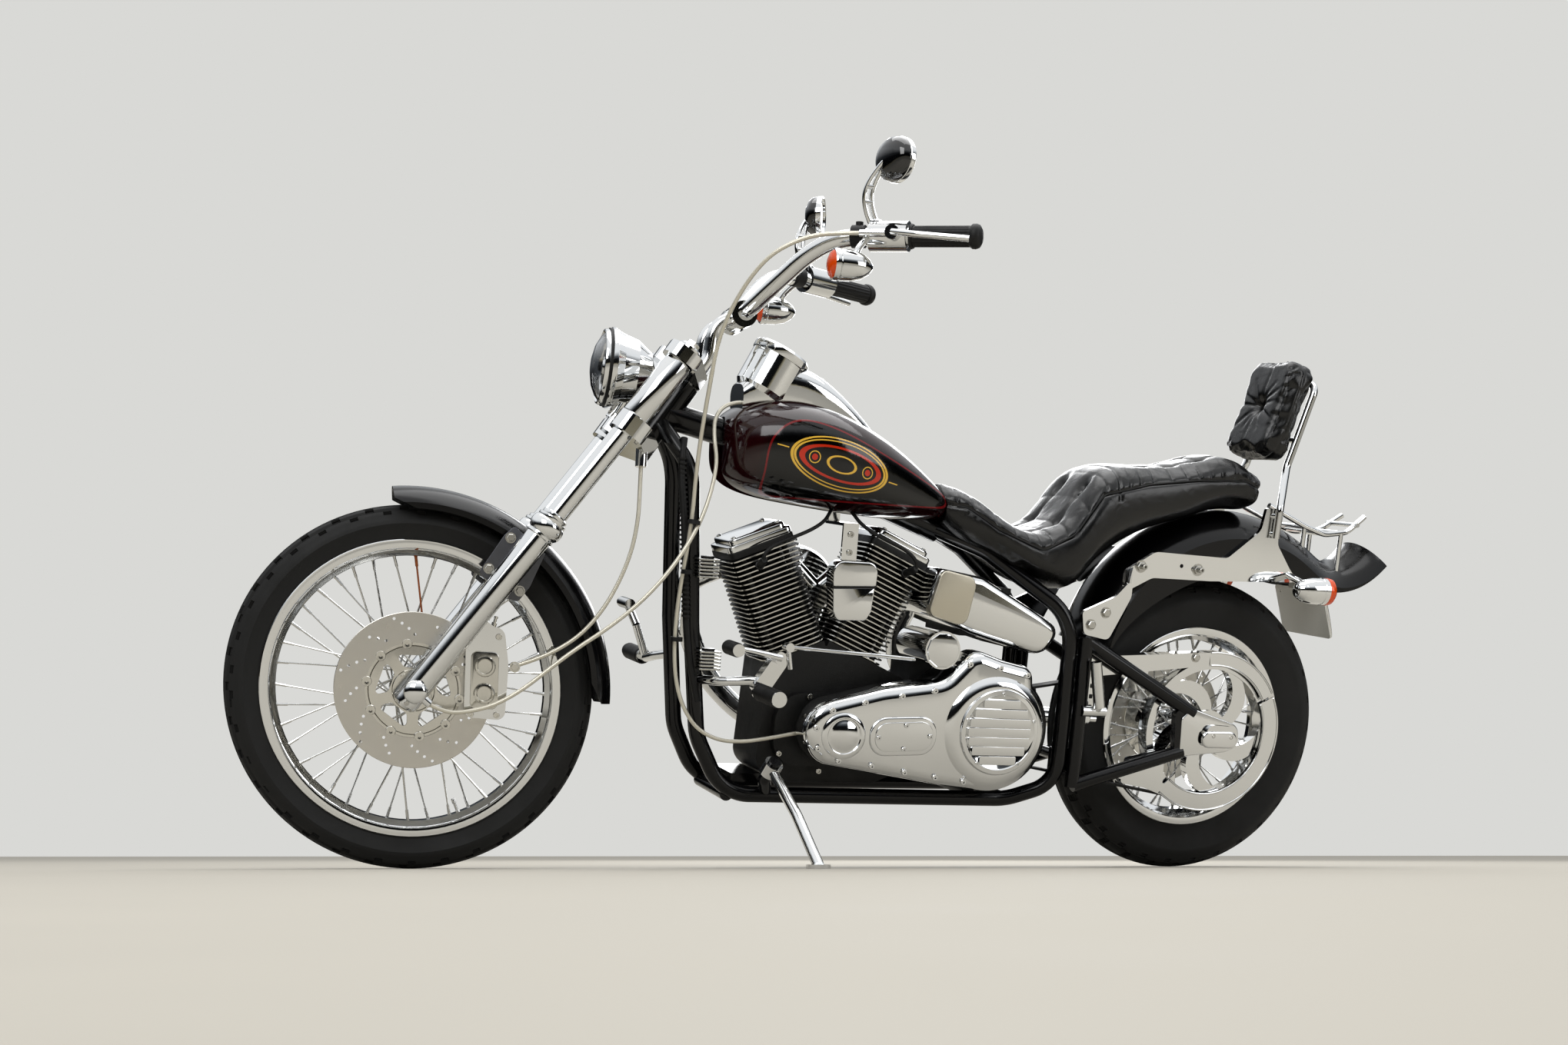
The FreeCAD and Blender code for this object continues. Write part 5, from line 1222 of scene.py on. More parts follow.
@dataclass
class Fittings:
    """Pieces of one finish on one body, listed by how each is made."""

    name: str
    body: str
    finish: Finish
    lathes: Sequence[tuple] = ()
    rods: Sequence[tuple] = ()
    tubes: Sequence[tuple] = ()
    slabs: Sequence[tuple] = ()
    plates: Sequence[tuple] = ()
    screws: Sequence[tuple] = ()
    replaces: Sequence[str] = ()
    angle: float = 32.0

    def build(self) -> None:
        """Makes them all as one piece."""
        bm = bmesh.new()
        for outline, at, axis, *rest in self.lathes:
            lathe(bm, outline, Vector(at), Vector(axis), *rest)
        for first, last, *rest in self.rods:
            rod(bm, Vector(first), Vector(last), *rest)
        for entry in self.tubes:
            tube(bm, *entry)
        for entry in self.slabs:
            slab(bm, *entry)
        for entry in self.plates:
            plate(bm, *entry)
        for at, axis, *rest in self.screws:
            screw(bm, Vector(at), Vector(axis), *rest)
        finish_mesh(self.name, bm, self.body, [self.finish], self.angle, self.replaces)


def bank(sign: int) -> tuple[Vector, Vector]:
    """Directions up one cylinder's bore and across it in the machine's length."""
    return (Vector((sign * math.sin(BANK), 0, math.cos(BANK))),
            Vector((math.cos(BANK), 0, -sign * math.sin(BANK))))


@dataclass
class Engine:
    """The V-twin's outside: bright-edged fins, stepped rocker covers, primary cover, leads and screws."""

    def build(self) -> None:
        """Makes all of it."""
        for node, sign in (("front_cylinder", -1), ("rear_cylinder", 1)):
            self.add_cylinder(node, sign)
        self.add_rockers()
        self.add_primary()
        self.add_small()

    def add_cylinder(self, node: str, sign: int) -> None:
        """One barrel and head: black fins whose edges are machined bright.

        Args:
            node: the CAD node that it stands for.
            sign: -1 for the front cylinder, 1 for the rear.
        """
        up, across = bank(sign)
        bm = bmesh.new()
        lathe(bm, [(0, 165), (52, 165), (52, 378), (0, 378)], CRANK, up, 40)
        fins = [(167 + 9.8 * n, 68, 70, 26) for n in range(17)]
        fins += [(335 + 9.6 * n, 73, 73, 14) for n in range(5)]
        for at, half, side, corner in fins:
            for face in plate(bm, oblong(half, side), CRANK + up * at, across, Y, 2.4, corner):
                face.material_index = 1
        for y in (-56, 56):
            for a in (-44, 44):
                rod(bm, CRANK + up * 166 + across * a + Y * y, CRANK + up * 372 + across * a + Y * y, 6,
                    segments=10)
        finish_mesh(f"{node}_fins", bm, "root", [CRINKLE, FIN_EDGE], 32, [node])

    def add_rockers(self) -> None:
        """Three-layer rocker covers with their cap screws."""
        bm, base = bmesh.new(), bmesh.new()
        for sign in SIDES:
            up, across = bank(sign)
            for mesh, at, thick, half, side, corner, bevel in ((base, 378, 13.6, 69, 64, 12, 2.5),
                                                               (bm, 391.6, 12.4, 68, 62, 12, 2.5),
                                                               (bm, 404, 12, 60, 56, 14, 5)):
                plate(mesh, oblong(half, side), CRANK + up * at, across, Y, thick, corner, bevel)
            for a, y in oblong(48, 45):
                screw(bm, CRANK + up * 415.5 + across * a + Y * y, up, 5, 3)
            for a, y in oblong(64, 48):
                screw(bm, CRANK + up * 391 + across * a + Y * y, up, 5, 6)
        finish_mesh("rocker_covers", bm, "root", [CHROME], 40, ["rocker_boxes"])
        finish_mesh("rocker_bases", base, "root", [CRINKLE], 40)

    def add_primary(self) -> None:
        """The chromed primary cover, round-shouldered, with its boss, hatch and rim screws."""
        outline = [(-112, 300, 70), (-88, 362, 60), (50, 398, 200), (186, 418, 60), (246, 482, 40),
                   (310, 462, 80), (380, 448, 30), (398, 318, 110), (330, 190, 110), (190, 204, 200),
                   (34, 228, 200), (-78, 244, 60)]
        bm = bmesh.new()
        slab(bm, outline, -118, -180, 0, 24, 7)
        lathe(bm, [(0, -14), (124, -14), (120, -9), (108, 3), (98, 9), (91, 10.5), (0, 10.5)],
              Vector((300, -180, 318)), -Y, 72)
        lathe(bm, [(0, -1), (46, -1), (46, 5), (42, 8), (36, 8.5), (34, 6.5), (30, 6.5), (27, 9), (0, 10.5)],
              Vector((-30, -180, 302)), -Y, 56)
        slab(bm, [(26, 262, 38), (26, 340, 38), (170, 346, 38), (170, 268, 38)], -179, -186, 0, 3.5, 8)
        slab(bm, [(36, 272, 30), (36, 330, 30), (160, 336, 30), (160, 278, 30)], -185.8, -189.5, 0, 1.0, 8)
        for x, z in ((42, 301), (100, 327), (154, 306), (98, 279)):
            screw(bm, Vector((x, -189, z)), -Y, 5, 4)
        for x, z in ((-88, 316), (-56, 352), (12, 369), (90, 384), (160, 397), (232, 452), (300, 446),
                     (362, 434), (240, 214), (176, 222), (108, 231), (36, 243), (-36, 252), (-82, 276)):
            screw(bm, Vector((x, -178.4, z)), -Y, 6, 5.5)
        finish_mesh("primary_case", bm, "root", [CHROME], 40, ["primary_cover"])
        bm = bmesh.new()
        lathe(bm, [(0, -0.5), (88, -0.5), (88, 9), (85, 13), (77, 14), (74, 11.5), (0, 11.5)],
              Vector((305, -182, 318)), -Y, 72)
        for n in range(-3, 4):
            half = math.sqrt(70 ** 2 - (19 * n) ** 2)
            z = 318 + 19 * n
            slab(bm, [(305 - half, z - 8.6, 3), (305 - half, z + 8.6, 3), (305 + half, z + 8.6, 3),
                      (305 + half, z - 8.6, 3)],
                 -193, -196, 0, 0.6, 4)
        for n in range(5):
            turn = math.radians(72 * n + 90)
            screw(bm, Vector((305 + 78 * math.cos(turn), -194.5, 318 + 78 * math.sin(turn))), -Y, 4, 3)
        finish_mesh("clutch_case", bm, "root", [CHROME], 40, ["clutch_cover"])

    def add_small(self) -> None:
        """Plugs with leads, starter end, case screws, and the pushrod tubes on the right."""
        leads, plugs, rods = [], [], []
        for sign in SIDES:
            up, across = bank(sign)
            foot = CRANK + up * 352 + across * (sign * 22) - Y * 70
            plugs.append(([(0, 0), (9, 0), (9, 6), (6.5, 7), (6.5, 20), (8, 22), (8, 40), (5, 46), (0, 46)],
                          foot, -Y + up * 0.35, 20))
            tip = foot + (-Y + up * 0.35).normalized() * 42
            leads.append(([tip, tip - Y * 8 + up * 26, Vector((sign * 46 - 30, -96, 700)),
                           Vector((sign * 16 - 24, -60, 742)), Vector((sign * 8 - 20, -34, 745))], 3.6))
            for k in (-1, 1):
                start = Vector((-35 + sign * 42 + k * 15, 106, 366))
                end = CRANK + up * 372 + across * (k * 26) + Y * 78
                run = (end - start).normalized()
                rods += [(start, end, 8.5), (start, start + run * 34, 12), (end - run * 30, end, 12)]
        Fittings("plug_caps", "root", GRIP, lathes=plugs, tubes=leads).build()
        Fittings("pushrod_tubes", "root", CHROME, rods=rods).build()
        left = ((-128, 250), (-128, 350), (-70, 366), (-40, 216))
        right = ((-128, 262), (-112, 356), (-30, 374), (54, 366), (82, 262), (-30, 222))
        screws = [((x, -CASE_HALF - 0.5, z), -Y, 6, 5) for x, z in left]
        screws += [((x, 126, z), Y, 5.5, 4.5) for x, z in right]
        Fittings("case_screws", "root", BOLT, screws=screws).build()
        Fittings("starter_end", "root", CHROME, lathes=[([(0, -2), (38, -2), (38.5, 12), (34, 18), (22, 20.5),
                                                          (0, 21)], (176, -150, 476), -Y, 10)],
                 rods=[((-141, -134, 467), (131, -134, 453), 4.2), ((-141, -146, 467), (-141, -122, 467), 9),
                       ((-141, -136, 467), (-134, -136, 424), 5)], angle=20).build()


@dataclass
class Fork:
    """The fork's turned legs, caps, axle ends, mudguard brackets, brake bosses, bolts and headlamp."""

    def build(self) -> None:
        """Makes all of it."""
        leg = [(0, -36), (17, -36), (22.5, -31), (25, -22), (25, 366), (27.5, 368), (27.5, 372), (26, 374),
               (30, 378), (32.5, 384), (33, 392), (31.5, 399), (28, 403), (29, 405), (29, 409), (25, 411),
               (25.5, 413), (25.5, 417), (21.5, 419), (20.5, 420), (20.5, 653), (26.5, 654), (27.5, 656),
               (27.5, 784), (26.5, 786), (20.5, 787), (20.5, 812), (22.5, 812.5), (22.5, 820), (20, 823),
               (12, 824), (0, 824)]
        legs = [(leg, on_fork(0, s * LEG_Y), FORK_DIR, 40) for s in SIDES]
        nuts = [([(12, 823), (14, 824), (14, 831), (11, 833), (0, 833)], on_fork(0, s * LEG_Y), FORK_DIR, 6)
                for s in SIDES]
        Fittings("fork_tubes", "fork", CHROME, lathes=legs + nuts, replaces=["fork_legs"]).build()
        cap = [(0, -1), (21, -1), (22, 3), (22, 12), (20, 16), (14, 20), (0, 22.5)]
        Fittings("axle_caps", "fork", CHROME,
                 lathes=[(cap, FRONT_AXLE + Y * s * 138, Y * s, 36) for s in SIDES]
                 + [([(0, 0), (23, 0), (24, 4), (24, 13), (21, 18), (8, 24), (0, 25)],
                     STEM_POINT + STEM_DIR * 92, STEM_DIR, 36)]).build()
        bolts = []
        for s in SIDES:
            for along, ahead in ((268, -36), (264, 34), (334, 38)):
                bolts.append((on_fork(along, s * 98, ahead), Y * s, 7, 7, True))
            for along, back in ((619, 24), (788, 24)):
                bolts.append((on_fork(along, s * LEG_Y, -back - 2) + Y * s * 18, -FORK_AHEAD, 6, 6))
            bolts.append((on_fork(-26, s * 138), Y * s, 5, 4))
        Fittings("fork_bolts", "fork", BOLT, screws=bolts).build()
        flats = [([(244, -30), (250, -46), (286, -46), (352, -30), (356, 46), (330, 50), (246, 44)],
                  on_fork(0, s * 96 + 2), FORK_DIR, FORK_AHEAD, 4, 8, 0.8) for s in SIDES]
        Fittings("fender_brackets", "fork", BRACKET, plates=flats).build()
        self.add_brake()
        self.add_lamp()

    def add_brake(self) -> None:
        """Caliper: two piston bosses, bridge bolts, bleed nipple and the hose's banjo."""
        y = -91
        rim = [(0, -2), (20, -2), (20, 3), (18, 5), (14.5, 5.5), (13, 3.5), (0, 3)]
        lathes = [(rim, (x, y, z), -Y, 32) for x, z in ((-716, 345), (-716, 396))]
        lathes.append(([(0, 0), (5, 0), (5, 8), (3, 9), (3, 16), (4, 17), (4, 20), (0, 21)],
                       (-700, -62, 470), Vector((0.25, 0, 1)), 14))
        banjo = Vector((-664, -80, 397))
        lathes.append(([(0, -8), (9.5, -8), (9.5, 8), (0, 8)], banjo + X * 4, Y, 20))
        pad = [(-742, 316, 12), (-742, 424, 12), (-690, 424, 12), (-690, 316, 12)]
        corners = ((-740, 306), (-740, 452), (-692, 452), (-692, 306))
        screws = [((x, y - 0.5, z), -Y, 6, 5) for x, z in corners]
        screws.append((banjo + X * 4 - Y * 8, -Y, 7, 6, True))
        screws += [((x, y - 7.5, z), -Y, 6.5, 6, True) for x, z in ((-752, 478), (-712, 462))]
        Fittings("caliper_bosses", "fork", POLISHED, lathes=lathes, slabs=[(pad, y + 2, y - 2, 0, 1.5)],
                 screws=screws).build()

    def add_lamp(self) -> None:
        """Headlamp rim, domed glass, bulb hood and gasket."""
        at, aim = Vector((-500, 0, 972)), Vector((-math.cos(math.radians(4)), 0, math.sin(math.radians(4))))
        Fittings("headlamp_rim", "fork", CHROME, lathes=[
            ([(64, 1), (64, 6), (67, 9), (70, 8), (71.5, 3), (71, -1)], at, aim, 64, True),
            ([(72, -5), (75.5, -6), (76, -10), (75, -14), (72, -14)], at, aim, 64, True),
            ([(0, 1), (16, 1), (16, 4), (12, 8), (0, 9)], at, aim, 24)]).build()
        bm = bmesh.new()
        lathe(bm, [(0, 27), (20, 25.4), (40, 20.5), (56, 12.5), (65, 5), (65, 3), (55, 9.5), (40, 17.5),
                   (20, 22.6), (0, 24.2)], at, aim, 64)
        finish_mesh("headlamp_glass", bm, "fork", [GLASS], 50)
        Fittings("headlamp_gasket", "fork", GRIP,
                 lathes=[([(70, 0), (73.5, -0.5), (73.5, -5.5), (70, -5.5)], at, aim, 64, True)]).build()


@dataclass
class Bars:
    """Grips with lengthwise grooves, switch blocks, mirrors on slotted stems, and the front signals."""

    clamp: Vector = field(default_factory=lambda: Vector((-245, 0, 1085)))
    inner: Vector = field(default_factory=lambda: Vector((-70, 240, 1213)))
    tip: Vector = field(default_factory=lambda: Vector((112, 358, 1210)))

    def along(self, back: float, side: int) -> tuple[Vector, Vector]:
        """A point on the bar's straight end, measured back from its tip, and the direction there.

        Args:
            back: distance from the tip.
            side: -1 for the left end, 1 for the right.

        Returns:
            The point and the direction.
        """
        mirrored = Matrix.Diagonal((1, side, 1))
        aim = (mirrored @ (self.tip - self.inner)).normalized()
        return mirrored @ self.tip - aim * back, aim

    def build(self) -> None:
        """Makes all of it."""
        self.add_grips()
        self.add_mirrors()
        self.add_signals()
        screws = []
        for s in SIDES:
            for y in (s * 44 - 10, s * 44 + 10):
                screws += [(self.clamp + Vector((19 * k, y, 15 * k)), (0.6 * k, 0, 0.8 * k), 5, 5)
                           for k in (1, -1)]
        Fittings("riser_screws", "fork", BOLT, screws=screws).build()
        blocks = []
        for s in SIDES:
            (near, _), (far, _) = self.along(212, s), self.along(236, s)
            blocks += [(near, far, 20.5, 20.5, 28),
                       (near.lerp(far, 0.5), near.lerp(far, 0.5) + Z * 26, 7, 7, 16)]
        Fittings("bar_switch_blocks", "fork", GRIP, rods=blocks).build()

    def add_grips(self) -> None:
        """Moulded grips: eighteen grooves, an inner flange and a rounded end."""
        bm = bmesh.new()
        for side in SIDES:
            start, aim = self.along(125, side)
            place = matrix_to(start, aim)

            def ring(at: float, depth: float) -> list[Vector]:
                """One ring of the grip.

                Args:
                    at: distance along the grip.
                    depth: how deep its grooves are there.

                Returns:
                    The ring's points.
                """
                made = []
                for k in range(72):
                    r, turn = 18.8 - (depth if k % 4 in (2, 3) else 0), math.tau * k / 72
                    made.append(place @ Vector((r * math.cos(turn), r * math.sin(turn), at)))
                return made

            loft(bm, [ring(4, 0), ring(7, 0.2), ring(10, 1.6), ring(108, 1.6), ring(111, 0.2), ring(114, 0)])
            lathe(bm, [(16, 0), (22, 0), (22.5, 2), (21, 5), (16, 5)], start, aim, 36, True)
            lathe(bm, [(0, 113), (20, 113), (22, 116), (22.2, 122), (20, 128), (14, 131.5), (0, 132.5)],
                  start, aim, 36)
        finish_mesh("grip_rubbers", bm, "fork", [GRIP], 40, ["grips"])

    def add_mirrors(self) -> None:
        """Oval domed shells whose black is a painted reflection, with glasses, on stems with long slots."""
        shells, rims, glass = bmesh.new(), bmesh.new(), bmesh.new()
        for side in SIDES:
            base, _ = self.along(193, side)
            y = base.y
            centre = Vector((-34, y + side * 30, 1346))
            wide = Vector((0.37, side * 0.929, 0))
            face = wide.cross(Z) * side
            place = Matrix.Translation(centre) @ Matrix((wide, Z, face)).transposed().to_4x4()
            dome = [(0, -18), (0.5, -16), (0.8, -10), (0.95, -2), (0.985, 8), (0.985, 14), (0, 14)]
            lip = [(0.98, 8), (1.01, 9), (1.02, 14), (1.01, 18), (0.97, 19.5), (0.92, 18), (0.92, 13)]
            pane = [(0, 15.5), (0.93, 15.5), (0.93, 14.2), (0, 14.2)]
            for bm, profile in ((shells, dome), (rims, lip), (glass, pane)):
                before = set(bm.verts)
                lathe(bm, [(r * 40, a) for r, a in profile], Vector(), Z, 48)
                fresh = [v for v in bm.verts if v not in before]
                bmesh.ops.transform(bm, matrix=place @ Matrix.Diagonal((1.15, 1.0, 1.0, 1.0)), verts=fresh)
            pair = []
            for gap in (-7, 7):
                way = [base + Vector((gap, 0, 16)), Vector((-70 + gap, y + side, 1262)),
                       Vector((-66 + gap * 0.9, y + side * 6, 1312)), centre - face * 8 + X * gap * 0.4]
                tube(rims, way, 4.2, sides=3)
                pair.append(centreline([Vector(p) for p in way]))
            for share in (0.04, 0.36, 0.62, 0.97):
                number = int(share * (len(pair[0]) - 1))
                rod(rims, pair[0][number], pair[1][number], 4.6, segments=12)
            lathe(rims, [(0, -6), (13, -6), (13, 4), (9, 8), (0, 9)], base + Z * 22, Z, 24)
        finish_mesh("mirror_rims", rims, "fork", [CHROME], 40, ["mirrors"])
        # The shells' black is a painted reflection: the dark wall mirrored in chrome domes.
        finish_mesh("mirror_shells", shells, "fork", [REFLECTION_BLACK], 40)
        finish_mesh("mirror_glasses", glass, "fork", [MIRROR], 40)

    def add_signals(self) -> None:
        """Bullet lamps with amber lenses in front, each on a ball and stalk."""
        bodies, lenses, stalks = [], [], []
        for s in SIDES:
            at = Vector((-140, s * 292, 1150))
            bodies.append(([(24, 3), (27.5, 3), (29, 6), (29, 12), (27, 14), (28.5, 16), (27.5, 36), (23, 56),
                            (14, 70), (5, 77), (0, 78.5)], at, X, 36))
            lenses.append(([(0, -7), (12, -5.8), (21, -2), (26, 4), (26, 8), (0, 8)], at, X, 36))
            stalks.append(([at + Vector((44, 0, 20)), at + Vector((50, 0, 40)), Vector((-58, s * 256, 1213))],
                           6))
        Fittings("front_signal_bodies", "fork", CHROME, lathes=bodies, tubes=stalks,
                 replaces=["front_signals"]).build()
        Fittings("front_signal_lenses", "fork", AMBER, lathes=lenses).build()


@dataclass
class Tail:
    """What trims the rear half: lamps, plate frame, covers, bolts, pegs, belt guard, oil tank and pipes."""

    def build(self) -> None:
        """Makes all of it."""
        bodies, lenses, stalks = [], [], []
        for s in SIDES:
            at = Vector((1010, s * 196, 636))
            bodies.append(([(0, -48.5), (8, -47), (15, -43), (23, -30), (27, -10), (28, 10), (26.6, 12),
                            (28.5, 14), (28.5, 26), (26, 28)], at, X, 36))
            lenses.append(([(0, 24), (28.8, 24), (28.9, 30), (27.5, 37), (21, 43), (10, 46.5), (0, 47)], at,
                           X, 36))
            stalks.append((Vector((1000, s * 110, 662)), Vector((1003, s * 176, 646)), 7, 7, 20))
        Fittings("rear_signal_bodies", "root", CHROME, lathes=bodies, rods=stalks).build()
        Fittings("rear_signal_lenses", "root", AMBER, lathes=lenses).build()
        screws = []
        for s in SIDES:
            for x, z in ((508, 540), (540, 566)):
                screws.append(((x, s * 156, z), Y * s, 8, 8, True))
            for x, z in ((638, 662), (775, 662)):
                screws += [((x, s * 110, z), Y * s, 9, 6, True), ((x, s * 115, z), Y * s, 5.5, 14)]
            for x, z in ((REAR_AXLE.x - 20, 318), (REAR_AXLE.x + 24, 316)):
                screws.append(((x, s * 163.5, z), Y * s, 5, 4))
        screws += [((x, -118, z), -Y, 7, 6, True) for x, z in ((689, 250), (790, 478))]
        Fittings("frame_screws", "root", BOLT, screws=screws).build()
        lean = Vector((-math.sin(math.radians(20)), 0, math.cos(math.radians(20))))
        low = Vector((1149, 0, 530))
        edge = [low + lean * a + Y * b for a, b in ((4, -84), (1, -60), (1, 60), (4, 84), (10, 89), (100, 89),
                                                    (106, 84), (109, 60), (109, -60), (106, -84), (100, -89),
                                                    (10, -89), (4, -84))]
        Fittings("plate_frame", "root", CHROME, tubes=[(edge, 3.0)]).build()
        sleeve = [(15, 0)] + [(17.2 - 1.6 * (k % 2), 3 + 5 * k) for k in range(20)] + [(15, 104)]
        toe = [(12, 0)] + [(14 - 1.4 * (k % 2), 2 + 5 * k) for k in range(12)] + [(12, 62)]
        pegs = [(sleeve, (-214, -194, 384), -Y, 24), (sleeve, (-336, 198, 404), Y, 24),
                (toe, (-290, -208, 470), -Y, 20)]
        Fittings("peg_rubbers", "root", GRIP, lathes=pegs, angle=50.0).build()
        cover = [(752, 352, 10), (776, 374, 8), (892, 340, 26), (900, 296, 26), (866, 282, 20), (756, 270, 8)]
        covers = [(cover, s * 148, s * 152.5, 0, 2.2) for s in SIDES]
        ovals = [([(800, 292, 16), (800, 328, 16), (884, 328, 17), (884, 292, 17)], s * 160, s * 167, 0, 4)
                 for s in SIDES]
        Fittings("axle_covers", "root", CHROME, slabs=covers + ovals).build()
        stay = [(536, 452, 3), (560, 452, 3), (556, 344, 3), (530, 346, 3)]
        Fittings("guard_stay", "root", CHROME, slabs=[(stay, -108, -118, 0, 3)],
                 rods=[((512, -114, 342), (564, -114, 340), 8)],
                 lathes=[([(0, 0), (11, 0), (11, 8), (8, 11), (0, 12)], (538, -116, 342), -Y, 24)]).build()
        Fittings("guard_stay_slots", "root", GRIP,
                 slabs=[([(543, z, 2), (543, z + 9, 2), (551, z + 9, 2), (551, z, 2)], -117.6, -118.6, 0, 0.2)
                        for z in (362, 384, 406, 428)]).build()
        arcs = []
        for reach, first, last in ((170.5, 31, 96), (143.5, 31, 96), (170.5, -129, 27), (135.5, -129, 27)):
            turns = [math.radians(first + (last - first) * n / 24) for n in range(25)]
            arcs.append(([REAR_AXLE + polar(reach, t, -118.3) for t in turns], 2.2))
        Fittings("guard_edges", "root", CHROME, tubes=arcs).build()
        self.add_oil_tank()
        self.add_right()

    def add_oil_tank(self) -> None:
        """The wrap-round oil tank: bright rolled body and its pale side panels."""
        body = [(154, 560, 20), (172, 636, 16), (272, 622, 30), (412, 552, 40), (460, 524, 30),
                (424, 466, 40), (258, 508, 60), (164, 540, 20)]
        Fittings("oil_tank_body", "root", CHROME, slabs=[(body, 0, s * 129, 0, 30) for s in SIDES], angle=50,
                 replaces=["oil_tank"]).build()
        panel = [(152, 542, 18), (176, 634, 16), (256, 620, 20), (238, 520, 22)]
        Fittings("oil_tank_panels", "root", SHEET,
                 slabs=[(panel, s * 110, s * 133, 0, 3) for s in SIDES]).build()

    def add_right(self) -> None:
        """The right-hand side's own trim: air cleaner cover and the pipes' ends."""
        at = Vector((-35, 128, 560))
        cover = [(0, 56), (30, 55.5), (58, 53), (74, 52.4), (78, 50), (90, 40), (93, 38), (94, 30), (93, 12),
                 (87, 0)]
        Fittings("cleaner_cover", "root", CHROME, lathes=[(cover, at, Y, 64)],
                 screws=[(at + polar(46, a, 53.5), Y, 5, 4) for a in (0.5, 2.6, 4.7)]).build()
        Fittings("pipe_mouths", "root", GRIP, lathes=[([(0, 0.4), (19, 0.4), (19, -1), (0, -1)], end, X, 28)
                                                      for end in ((600, 192, 234), (640, 192, 302))]).build()


@dataclass
class Dress:
    """Console, horn cover, finned blocks, looms and ties."""

    def build(self) -> None:
        """Makes all of it."""
        self.add_blocks()
        self.add_console()
        self.add_horn()
        self.add_loom()

    def add_blocks(self) -> None:
        """The two little blocks of bright fins between the down tubes and the engine."""
        fins, cores = [], []
        for x, z in ((-306, 611), (-292, 434)):
            fins += [(oblong(22, 20), Vector((x, -96, z + 6.6 * n)), X, Y, 3.2, 6, 0.8) for n in range(-3, 3)]
            cores.append((Vector((x, -96, z - 21)), Vector((x, -96, z + 21)), 13))
        Fittings("block_fins", "root", FIN_EDGE, plates=fins, replaces=["finned_blocks"]).build()
        Fittings("block_cores", "root", ENAMEL, rods=cores).build()

    def add_console(self) -> None:
        """The instrument's bezel, face and glass, and the console's bolt and knob."""
        tilt = Vector((0.45, 0, 0.893)).normalized()
        top = Vector((-190, 0, 943)) + tilt * 92
        rim = [(46, 0.3), (56.5, -6), (57, -14), (58, -12), (58, 0), (54, 5), (48, 6), (46, 3)]
        Fittings("instrument_bezel", "root", CHROME, lathes=[(rim, top, tilt, 64, True)],
                 screws=[((-62, 0, 978), Vector((0.5, 0, 0.87)), 6, 7, True),
                         ((34, 0, 905), Vector((0.5, 0, 0.87)), 5, 5)]).build()
        Fittings("instrument_face", "root", ENAMEL,
                 lathes=[([(0, 1.2), (47, 1.2), (47, 0.2), (0, 0.2)], top, tilt, 48)]).build()
        Fittings("instrument_glass", "root", GLASS,
                 lathes=[([(0, 5.4), (30, 5), (47, 3.4), (47, 2.4), (0, 4.2)], top, tilt, 48)]).build()

    def add_horn(self) -> None:
        """The horn's shield: a domed head, a black groove and a flat tapering face, under its strap."""
        head = [(-63, 590, 3), (-66, 640, 46), (30, 640, 46), (27, 594, 3)]
        face = [(-48, 524, 10), (-58, 540, 8), (-62, 588, 3), (26, 592, 3), (22, 544, 8), (12, 526, 10)]
        strap = [((-36, -112.3, 600), (-4, -106, 712)), ((-36, -112, 706), (-4, -14, 712)),
                 ((-32, -20, 706), (-8, -14, 786))]
        bm = bmesh.new()
        slab(bm, head, -112, -151, 0, 14)
        slab(bm, face, -112, -149, 0, 3)
        for a, b in strap:
            middle, size = (Vector(a) + Vector(b)) / 2, Vector(b) - Vector(a)
            bmesh.ops.create_cube(bm, size=1.0,
                                  matrix=Matrix.Translation(middle) @ Matrix.Diagonal((*size, 1.0)))
        finish_mesh("horn_shield", bm, "root", [CHROME], 32, ["horn_cover"])
        Fittings("horn_groove", "root", ENAMEL,
                 slabs=[([(-64, 586, 2), (-65, 596, 2), (29, 600, 2), (28, 590, 2)], -112, -149.6, 0,
                         1)]).build()
        Fittings("horn_strap_screws", "root", BOLT,
                 screws=[((-20, -112.3, 690), -Y, 6, 4), ((-20, -112.3, 655), -Y, 6, 4)]).build()

    def add_loom(self) -> None:
        """The corrugated wiring sleeve on the down tube, and the cables' ties."""
        loom = [(-352, -46, 850), (-362, -64, 800), (-352, -78, 700), (-344, -84, 600), (-338, -86, 500),
                (-326, -90, 420), (-306, -92, 350)]
        Fittings("wiring_loom", "root", GRIP, tubes=[(loom, 7.0)],
                 lathes=[([(7, -2), (9, -2), (9, 2), (7, 2)], (-358 + 0.06 * k, -62 - 0.1 * k, 812 - k), Z,
                          14, True) for k in range(0, 300, 9)], angle=60).build()
        ties = [((-339.5, -103, 694), Vector((0.15, 0.1, 1))), ((-346, -100, 600), Z), ((-358, -96, 470), Z)]
        Fittings("cable_ties", "root", GRIP,
                 lathes=[([(5, -4), (12, -4), (12, 4), (5, 4)], at, axis, 20, True)
                         for at, axis in ties]).build()


# Upholstery

